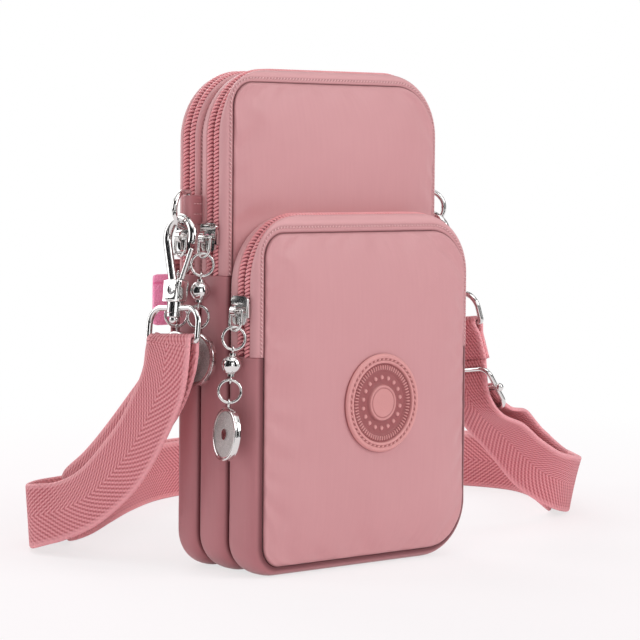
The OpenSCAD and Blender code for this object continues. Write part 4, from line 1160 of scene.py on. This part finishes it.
# %% [markdown]
# The round patch is soft plastic, moulded in steps: a broad rim with slanted dashes like stitches, a
# ring of short ribs, a sunk ring with small studs, and a raised disc in the middle. It is one grid in
# polar numbers: the height depends on the distance from the centre and, in three rings, on the angle.
# So its rings stay truly round, and ribs and studs need no pieces of their own.

# %% Patch
patch_box = span("pocket_patch")
patch_middle = (patch_box[0] + patch_box[1]) / 2
patch_r = (patch_box[1][0] - patch_box[0][0]) / 2
patch_back = patch_box[1][1]
stud_count = 18


def ramp(value, low, high):
    """Nought below low, one above high, and 3t2 - 2t3 between them."""
    t = np.clip((value - low) / (high - low), 0, 1)
    return t * t * (3 - 2 * t)


def between(value, start, low, high, end):
    """One from low to high, and nought before start and after end."""
    return ramp(value, start, low) * ramp(-value, -end, -high)


def patch_height(share, turn):
    """Height over the patch's back at a share of its radius and an angle. A broad rim with a shallow
    valley of slanted dashes, a step down to a ring of ribs, where a wave of the angle is high, a sunk
    ring with eighteen small studs, a groove and a disc with a fine ring cut in it."""
    rim = ramp(share, 0.795, 0.815)
    valley = between(share, 0.855, 0.87, 0.9, 0.915)
    sunk = between(share, 0.385, 0.4, 0.63, 0.645)
    floor = 1.35 - 0.3 * sunk
    ribs = ramp(np.cos(72 * turn), -0.1, 0.6) * between(share, 0.665, 0.68, 0.76, 0.775)
    slanted = np.cos(48 * turn + 46 * (share - 0.885))
    dashes = ramp(slanted, -0.35, 0.4) * between(share, 0.862, 0.874, 0.898, 0.91)
    disc = ramp(-share, -0.375, -0.35)
    step = np.mod(turn * stud_count / (2 * np.pi), 1) - 0.5
    stud_away = np.hypot((share - 0.515) / 0.055, step * 2 * np.pi / stud_count * share / 0.055)
    studs = ramp(-stud_away, -1.0, -0.55)
    edge = 1 - 0.28 * ramp(share, 0.955, 1.0) ** 2
    ring = np.exp(-(((share - 0.3) / 0.012) ** 2))
    # The second value is a share of painted light: high on the rim, ribs, studs, dashes and disc, low in
    # the valley, the sunk ring and the ring cut in the disc.
    disc_painted_light = disc * (0.85 - 0.6 * ring)
    raised = np.maximum(rim - 0.8 * valley, disc_painted_light)
    for feature in (ribs, studs, 1.2 * dashes):
        raised = np.maximum(raised, feature)
    height = floor * (1 - rim) + (2.35 - 0.45 * valley) * rim * edge
    height = height + 0.7 * ribs + 0.55 * dashes + 0.95 * disc + 0.65 * studs - 0.25 * ring
    return height * mm, raised


def make_patch():
    """The polar grid from the centre out, then the side wall down into the fabric, and a flat back."""
    spans = (
        (0.02, 0.25, 4), (0.27, 0.33, 11), (0.34, 0.42, 8), (0.445, 0.585, 11), (0.61, 0.69, 8),
        (0.7, 0.75, 3), (0.755, 0.82, 7), (0.84, 0.92, 14), (0.935, 1.0, 7),
    )
    shares = np.unique(np.concatenate([np.linspace(*span_of) for span_of in spans]))[:, None]
    turn = circle(576)[None, :]
    height, raised = patch_height(shares, turn)
    radius = np.broadcast_to(shares * patch_r, height.shape)
    wall_rows = [(1.0, 1.2 * mm), (1.0, -0.9 * mm), (0.5, -0.9 * mm), (0.02, -0.9 * mm)]
    radius = np.concatenate([radius] + [np.full((1, turn.size), s * patch_r) for s, _ in wall_rows])
    height = np.concatenate([height] + [np.full((1, turn.size), h) for _, h in wall_rows])
    raised = np.concatenate([raised, np.zeros((4, turn.size))])
    points = joined(
        patch_middle[0] + radius * np.cos(turn), patch_back - height,
        patch_middle[2] + radius * np.sin(turn),
    )
    piece = tube_piece("patch_moulded", points)
    keep_mask(piece, "raised", raised)
    return belongs(piece, "pouch", patch_plastic, ["pocket_patch"])


patch = make_patch()
print("patch", round(2 * patch_r / mm), "mm across,", len(patch.data.polygons), "faces")

# %% [markdown]
# Each ring tab is a strip of satin folded round the D-ring's bar, with both ends sewn into the side
# seam. Two short rows of pale stitches close it beside the ring. It is the strap's helper again, on a
# path seen from above, and the stitches are the facings' stitches.

# %% Ring tabs
def folded_tab(side_name, side):
    """A strip on a path seen from above: out from the seam, round the bar and back, with the strip's
    width upright. Two rows of stitches lie on its front face."""
    box = span(side_name + "_ring_tab")
    high = box[1][2] - box[0][2]
    bar_x, bar_y = 59 * mm, 7.5 * mm
    middle_z = (box[0][2] + box[1][2]) / 2
    reach = 1.55 * mm
    tab_t = 0.78 * mm
    lift = 0.42 * mm
    round_bar = np.radians(np.linspace(-115, 115, 15))
    path = np.concatenate([
        [[51.0 * mm, 7.5 * mm], [52.2 * mm, 7.25 * mm], [53.6 * mm, 6.85 * mm], [55.6 * mm, 6.3 * mm]],
        joined(bar_x + reach * np.cos(round_bar), bar_y + reach * np.sin(round_bar)),
        [[55.6 * mm, 8.3 * mm], [53.6 * mm, 8.1 * mm], [52.2 * mm, 8.08 * mm], [51.0 * mm, 8.08 * mm]],
    ])
    places = joined(side * path[:, 0], path[:, 1], middle_z)
    widths = np.broadcast_to([0.0, 0.0, 1.0], places.shape)
    piece, _ = webbing(f"{side_name}_tab_fabric", places, widths, high, tab_t)
    from_seam = np.abs([v.co.x for v in piece.data.vertices]) - 51 * mm
    # Painted shade where the tab goes into the seam.
    keep_mask(piece, "painted_groove_shade", np.clip(1 - from_seam / mm, 0, 1))
    belongs(piece, "pouch", satin_painted_darker, [side_name + "_ring_tab"])
    for k, share in enumerate((0.3, 0.66)):
        along = np.linspace(52.6, 58.2, 8) * mm
        front = np.interp(along, path[:8, 0], path[:8, 1]) - lift
        line = joined(side * along, front, box[1][2] - share * high)
        out = np.broadcast_to([0.0, -1.0, 0.0], line.shape)
        stitch_row(
            f"{side_name}_tab_stitches_{k}", line, out, pale_thread,
            pitch=1.35 * mm, share=0.8, thick=0.34 * mm,
        )
    print(side_name, "tab", round(high / mm, 1), "mm high")


folded_tab("left", -1)
folded_tab("right", 1)

# %% [markdown]
# Across the back runs a ribbed elastic band for the wearer's arm. Its right end is sewn into the seam,
# and its left end carries a tab of fuzzy pink loop pile with a sewn hem. The pile could be hair, but
# at this size a bump of tiny curls looks the same and costs nothing.

# %% Arm band and its tab
band_box = span("arm_band")
band_t = 1.5 * mm
tab_box = span("arm_band_tab")
hem_at = 0.66
hem_w = 0.45 * mm
hem_depth = 0.25 * mm
fuzz_depth = 0.07 * mm


def make_band():
    """The band's path from left to right: straight behind the back, then down to the seam along a
    third power, so that it clears the padded panel."""
    end_x = half_w + 0.5 * mm
    bend_x = 38 * mm
    drop_to_seam = 3.6 * mm
    x = np.linspace(band_box[0][0], end_x, 60)
    drop = np.clip((x - bend_x) / (end_x - bend_x), 0, 1) ** 3
    middle = (band_box[0] + band_box[1]) / 2
    places = joined(x, middle[1] - drop_to_seam * drop, middle[2])
    widths = np.broadcast_to([0.0, 0.0, 1.0], places.shape)
    piece, length = webbing("arm_band_elastic", places, widths, band_box[1][2] - band_box[0][2], band_t)
    print("arm band", round(length / mm), "mm long")
    belongs(piece, "pouch", elastic, ["arm_band"])


def make_tab():
    """A soft block: x and y go round a superellipse of power 6, z goes over one of power 10, and the
    face sinks along the hem, which lies at a share of the half height."""
    middle = (tab_box[0] + tab_box[1]) / 2
    half = (tab_box[1] - tab_box[0]) / 2
    up = np.linspace(-1, 1, 58)[:, None]
    turn = circle(64)[None, :]
    size = (1 - np.abs(up * 0.9995) ** 10) ** 0.1
    round_x = signed_power(np.cos(turn), 1 / 3)
    round_y = signed_power(np.sin(turn), 1 / 3)
    hem = np.exp(-(((up - hem_at) * half[2] / hem_w) ** 2))
    fuzz = fuzz_depth * np.sin(23 * turn + 41 * up) * np.sin(57 * up - 5 * turn)
    points = joined(
        middle[0] + half[0] * size * round_x,
        middle[1] + (half[1] * size - hem_depth * hem + fuzz) * round_y,
        middle[2] + half[2] * up,
    )
    piece = tube_piece("arm_band_tab_pile", points)
    # Painted shade along the sunk hem.
    keep_mask(piece, "painted_groove_shade", np.broadcast_to(hem, points.shape[:2]))
    belongs(piece, "pouch", loop_pile, ["arm_band_tab"])


make_band()
make_tab()

# %% [markdown]
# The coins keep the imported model's shape. Each sunk face gets a layer of grey, sand-blasted enamel, a
# thin ring between the bezel and the stud, and the bezel gets a rounded rim. Both are made round the
# coin's own centre and axis, which are worked out down the charm's chain.

# %% Coin faces
charm_lean = {"rear": 5.2, "middle": 6.2, "pocket": 5.5}
charm_extra = {"rear": (0, 10.5), "middle": (-5, 0), "pocket": (0, 0)}
coin_turn = {"rear": 0, "middle": 0, "pocket": 15}
pivot_out = -57.55 * mm
pivot_high = {"rear": 124 * mm, "middle": 124 * mm, "pocket": 98 * mm}
low_eye_drop = 26.45 * mm
coin_drop = 45.0 * mm
bezel_at = 9.12 * mm
bezel_half = 0.7 * mm
coin_half = 1.1 * mm
coin_steps = 72


def coin_frame(charm):
    """The coin's centre and axis: from the slider's pivot down to the bead's low eye with the charm's
    lean, and from there to the coin with the lower half's own turn as well."""
    lean = Matrix.Rotation(np.radians(charm_lean[charm]), 3, "Y")
    forward, tuck = charm_extra[charm]
    low = Matrix.Rotation(np.radians(forward), 3, "X") @ Matrix.Rotation(np.radians(-tuck), 3, "Y")
    pivot = Vector((pivot_out, zip_sizes(charm)[2], pivot_high[charm]))
    eye = lean @ Vector((0, 0, -low_eye_drop))
    rest = lean @ low @ Vector((0, 0, low_eye_drop - coin_drop))
    turn = np.radians(coin_turn[charm])
    axis = lean @ low @ Vector((-np.cos(turn), np.sin(turn), 0))
    print(charm, "coin centre", [round(v / mm, 1) for v in pivot + eye + rest])
    return np.array(pivot + eye + rest), np.array(axis)


def coin_face(charm):
    """Two flat rings of square section: round the axis, between the stud's and the bezel's radius. The
    bezel itself gets a rounded rim, whose section is a superellipse of power 2.9."""
    centre, axis = coin_frame(charm)
    first = unit(np.cross(axis, [0, 0, 1.0]))
    second = np.cross(axis, first)
    turn = circle(coin_steps)[:, None, None]
    outwards = np.cos(turn) * first + np.sin(turn) * second
    section = np.array([[2.0, 0.45], [2.0, 0.6], [2.15, 0.64], [8.2, 0.64], [8.4, 0.6], [8.4, 0.45]]) * mm
    points = [
        (centre + section[None, :, :1] * outwards + side * section[None, :, 1:] * axis).reshape(-1, 3)
        for side in (-1, 1)
    ]
    ring = grid_faces(coin_steps, len(section), True, True)
    faces = np.concatenate([ring, ring + coin_steps * len(section)])
    enamel = closed_out(make_mesh(f"{charm}_coin_enamel", np.concatenate(points), faces, smooth=False))
    belongs(enamel, charm + "_coin", coin_grey)

    t = circle(20)[None, :, None]
    away = bezel_at + bezel_half * signed_power(np.cos(t), 0.7)
    deep = coin_half * signed_power(np.sin(t), 0.7)
    rim = centre + away * outwards + deep * axis
    bezel = closed_out(make_mesh(f"{charm}_coin_bezel", rim, grid_faces(*rim.shape[:2], True, True)))
    belongs(bezel, charm + "_coin", nickel)


for charm in ("rear", "middle", "pocket"):
    coin_face(charm)

# %% [markdown]
# On the real hooks the block below the bow is a small casting: it tapers downwards, its edges are
# rounded, and a rivet with a sunk ring round its head holds the gate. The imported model's block is
# plain, so this rounded one is fitted over it. A bevel would round its edges, but not taper it.

# %% Hook blocks
block_top = -19.4 * mm
block_low = -28.0 * mm
block_face = 2.8 * mm
rivet_y = -0.3 * mm
rivet_w = -23.4 * mm


def hook_block(side_name, place, lean):
    """Round the block x and y follow a superellipse of power 5, its width shrinks evenly on the way
    down, and both ends are rounded by a superellipse of power 8."""
    down = np.linspace(-1, 1, 21)[:, None]
    turn = circle(48)[None, :]
    size = (1 - np.abs(down * 0.999) ** 8) ** (1 / 8)
    half_y = (4.6 - 0.45 * (down + 1)) * mm * size
    half_x = 2.85 * mm * size
    x = half_x * signed_power(np.cos(turn), 0.4)
    y = 0.1 * mm + half_y * signed_power(np.sin(turn), 0.4)
    w = (block_top + block_low) / 2 - down * (block_top - block_low) / 2
    piece = tube_piece(f"{side_name}_hook_block", hook_frame(joined(x, y, w), place, lean))
    belongs(piece, side_name + "_hook_swivel", nickel)


def hook_rivets(side_name, place, lean):
    """The rivet's head on both faces, turned round the x axis: a low dome, a sunk ring and a rim."""
    profile = np.array([
        [0.02, 0.45], [0.5, 0.42], [0.85, 0.3], [1.0, 0.08], [1.4, 0.08], [1.55, 0.36], [1.8, 0.38],
        [1.95, 0.2], [2.0, -0.4], [0.02, -0.4],
    ]) * mm
    turn = circle(36)[None, :]
    heads, faces = [], []
    for side in (-1, 1):
        x = side * (block_face + profile[:, 1:])
        y = rivet_y + profile[:, :1] * np.cos(turn)
        w = rivet_w + profile[:, :1] * np.sin(turn)
        faces += [[v + len(heads) * x.size * turn.size for v in f] for f in tube_faces(x.size, turn.size)]
        heads.append(joined(x, y, w).reshape(-1, 3))
    points = hook_frame(np.concatenate(heads), place, lean)
    piece = closed_out(make_mesh(f"{side_name}_hook_rivet_heads", points, faces))
    # The rivet heads take the dark steel finish as painted shade for the shade in and round them.
    belongs(piece, side_name + "_hook_swivel", spring_steel_and_rivet_shade)


for side_name, place, lean in (
    ("left", left_hook_place, left_hook_lean), ("right", right_hook_place, right_hook_lean),
):
    hook_block(side_name, place, lean)
    hook_rivets(side_name, place, lean)
print("hook blocks", round((block_top - block_low) / mm, 1), "mm high")

# %% [markdown]
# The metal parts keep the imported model's shapes, which are exact: sliders, rings, beads, coins, hooks
# and the strap's slider. They only need their finish. A replaced node isn't rendered, but it is given
# a finish too, so that none is left bare.

# %% Finish of the parts that stay
replaced_nodes = 0
for name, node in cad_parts.items():
    if node.hide_render:
        replaced_nodes += 1
        finish = panel_satin
    else:
        finish = spring_steel_and_rivet_shade if name.endswith("gate_spring") else nickel
    for slot_index in range(max(1, len(node.material_slots))):
        if node.material_slots:
            node.material_slots[slot_index].material = finish
        else:
            node.data.materials.append(finish)
print(replaced_nodes, "nodes replaced,", len(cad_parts) - replaced_nodes, "kept")

# %% [markdown]
# The pouch stands on a white floor before a white backdrop, in soft light. The world is pure white to
# the camera and in reflections, and so is the floor away from the pouch, while beside it the floor
# takes a soft shadow. Dark cards that only reflections see give the nickel its black edges.

# %% Floor and world
def to_view(tree):
    """One for rays from the camera, from reflections and through clear things, nought for light."""
    path = add(tree, "ShaderNodeLightPath").outputs
    seen = calc(tree, "MAXIMUM", path["Is Camera Ray"], path["Is Glossy Ray"])
    return calc(tree, "MAXIMUM", seen, path["Is Transmission Ray"])


def white_floor():
    """Where it is seen, it is seven tenths white of its own and three tenths lit, which keeps the
    shadow, and its own white takes over away from the pouch."""
    material = bpy.data.materials.new("floor_white")
    material.use_nodes = True
    tree = material.node_tree
    tree.nodes.clear()
    # The lit part is tinted pink: painted light, standing in for the pink light the pouch throws on the
    # floor, so the shadow beside it reads pink.
    lit = add(tree, "ShaderNodeBsdfDiffuse", {"Color": (1.0, 0.88, 0.92, 1)})
    own = add(tree, "ShaderNodeEmission", {"Color": (1, 1, 1, 1), "Strength": 1.0})
    place = add(tree, "ShaderNodeTexCoord").outputs["Object"]
    away = add(tree, "ShaderNodeVectorMath", {0: place}, operation="LENGTH").outputs["Value"]
    far = add(tree, "ShaderNodeMapRange", {
        "Value": away, "From Min": 0.22, "From Max": 0.6, "To Min": 0.7, "To Max": 1.0,
    }).outputs[0]
    share = calc(tree, "MULTIPLY", to_view(tree), far)
    both = add(tree, "ShaderNodeMixShader", {0: share, 1: lit.outputs[0], 2: own.outputs[0]})
    add(tree, "ShaderNodeOutputMaterial", {"Surface": both.outputs[0]})
    return material


floor_mesh = make_mesh("floor", [[-6, -6, 0], [6, -6, 0], [6, 6, 0], [-6, 6, 0]], [[0, 1, 2, 3]])
floor_mesh.data.materials.append(white_floor())

world = bpy.data.worlds.new("studio")
scene.world = world
world.use_nodes = True
sky = world.node_tree
soft_light = 0.38
sky.links.new(
    calc(sky, "MULTIPLY_ADD", to_view(sky), 1 - soft_light, soft_light),
    sky.nodes["Background"].inputs["Strength"],
)
sky.nodes["Background"].inputs["Color"].default_value = (1, 1, 1, 1)


# %% Cards and lamps
def card(name, place, aim, wide, high):
    """A dark card that only reflections see, turned to face the pouch."""
    turn = (Vector(aim) - Vector(place)).to_track_quat("Z", "Y").to_matrix()
    corners = [(-1, -1), (1, -1), (1, 1), (-1, 1)]
    points = [Vector(place) + turn @ Vector((a * wide / 2, b * high / 2, 0)) for a, b in corners]
    made = make_mesh(name, [list(p) for p in points], [[0, 1, 2, 3]])
    made.data.materials.append(card_black)
    made.visible_camera = made.visible_diffuse = made.visible_shadow = made.visible_transmission = False


card_black = bpy.data.materials.new("card_black")
card_black.use_nodes = True
card_black.node_tree.nodes.clear()
card_dark = add(card_black.node_tree, "ShaderNodeEmission", {"Color": (0.02, 0.02, 0.022, 1)})
add(card_black.node_tree, "ShaderNodeOutputMaterial", {"Surface": card_dark.outputs[0]})
card_away = 1.5
card_middle = 0.75
card_high = 1.9
for turn, wide in ((226, 1.25), (274, 1.0), (180, 1.25), (136, 0.95), (40, 1.4), (335, 1.2), (88, 0.75)):
    side = np.radians(turn)
    place = (card_away * np.cos(side), card_away * np.sin(side), card_middle)
    card(f"card_{turn}", place, (0, 0, card_middle), wide, card_high)
card("card_low_left", (-0.62, -0.2, 0.004), (-0.62, -0.2, 1), 0.6, 0.9)
card("card_low_front", (0.1, -0.72, 0.004), (0.1, -0.72, 1), 0.8, 0.6)
card("card_top", (-0.1, 0.1, 1.8), (0, 0, 0.1), 1.5, 1.3)


def area_lamp(name, place, size, watts):
    """A square lamp at a place, turned to face the pouch."""
    lamp = bpy.data.lights.new(name, "AREA")
    lamp.size = size
    lamp.energy = watts
    body = bpy.data.objects.new(name, lamp)
    scene.collection.objects.link(body)
    body.location = place
    body.rotation_euler = (Vector((0, 0, 0.1)) - Vector(place)).to_track_quat("-Z", "Y").to_euler()


area_lamp("key", (0.55, -1.1, 0.75), 0.7, 6.2)
area_lamp("fill", (-0.75, -1.15, 0.45), 0.7, 2.3)
area_lamp("side", (-0.9, 1.1, 0.5), 0.7, 5.2)
area_lamp("top", (-0.1, -0.3, 1.3), 0.8, 3.5)
area_lamp("behind", (0.4, 1.1, 0.7), 0.8, 6)
print("10 cards, 5 lamps, world", soft_light)

# %% The end
bpy.context.view_layer.update()
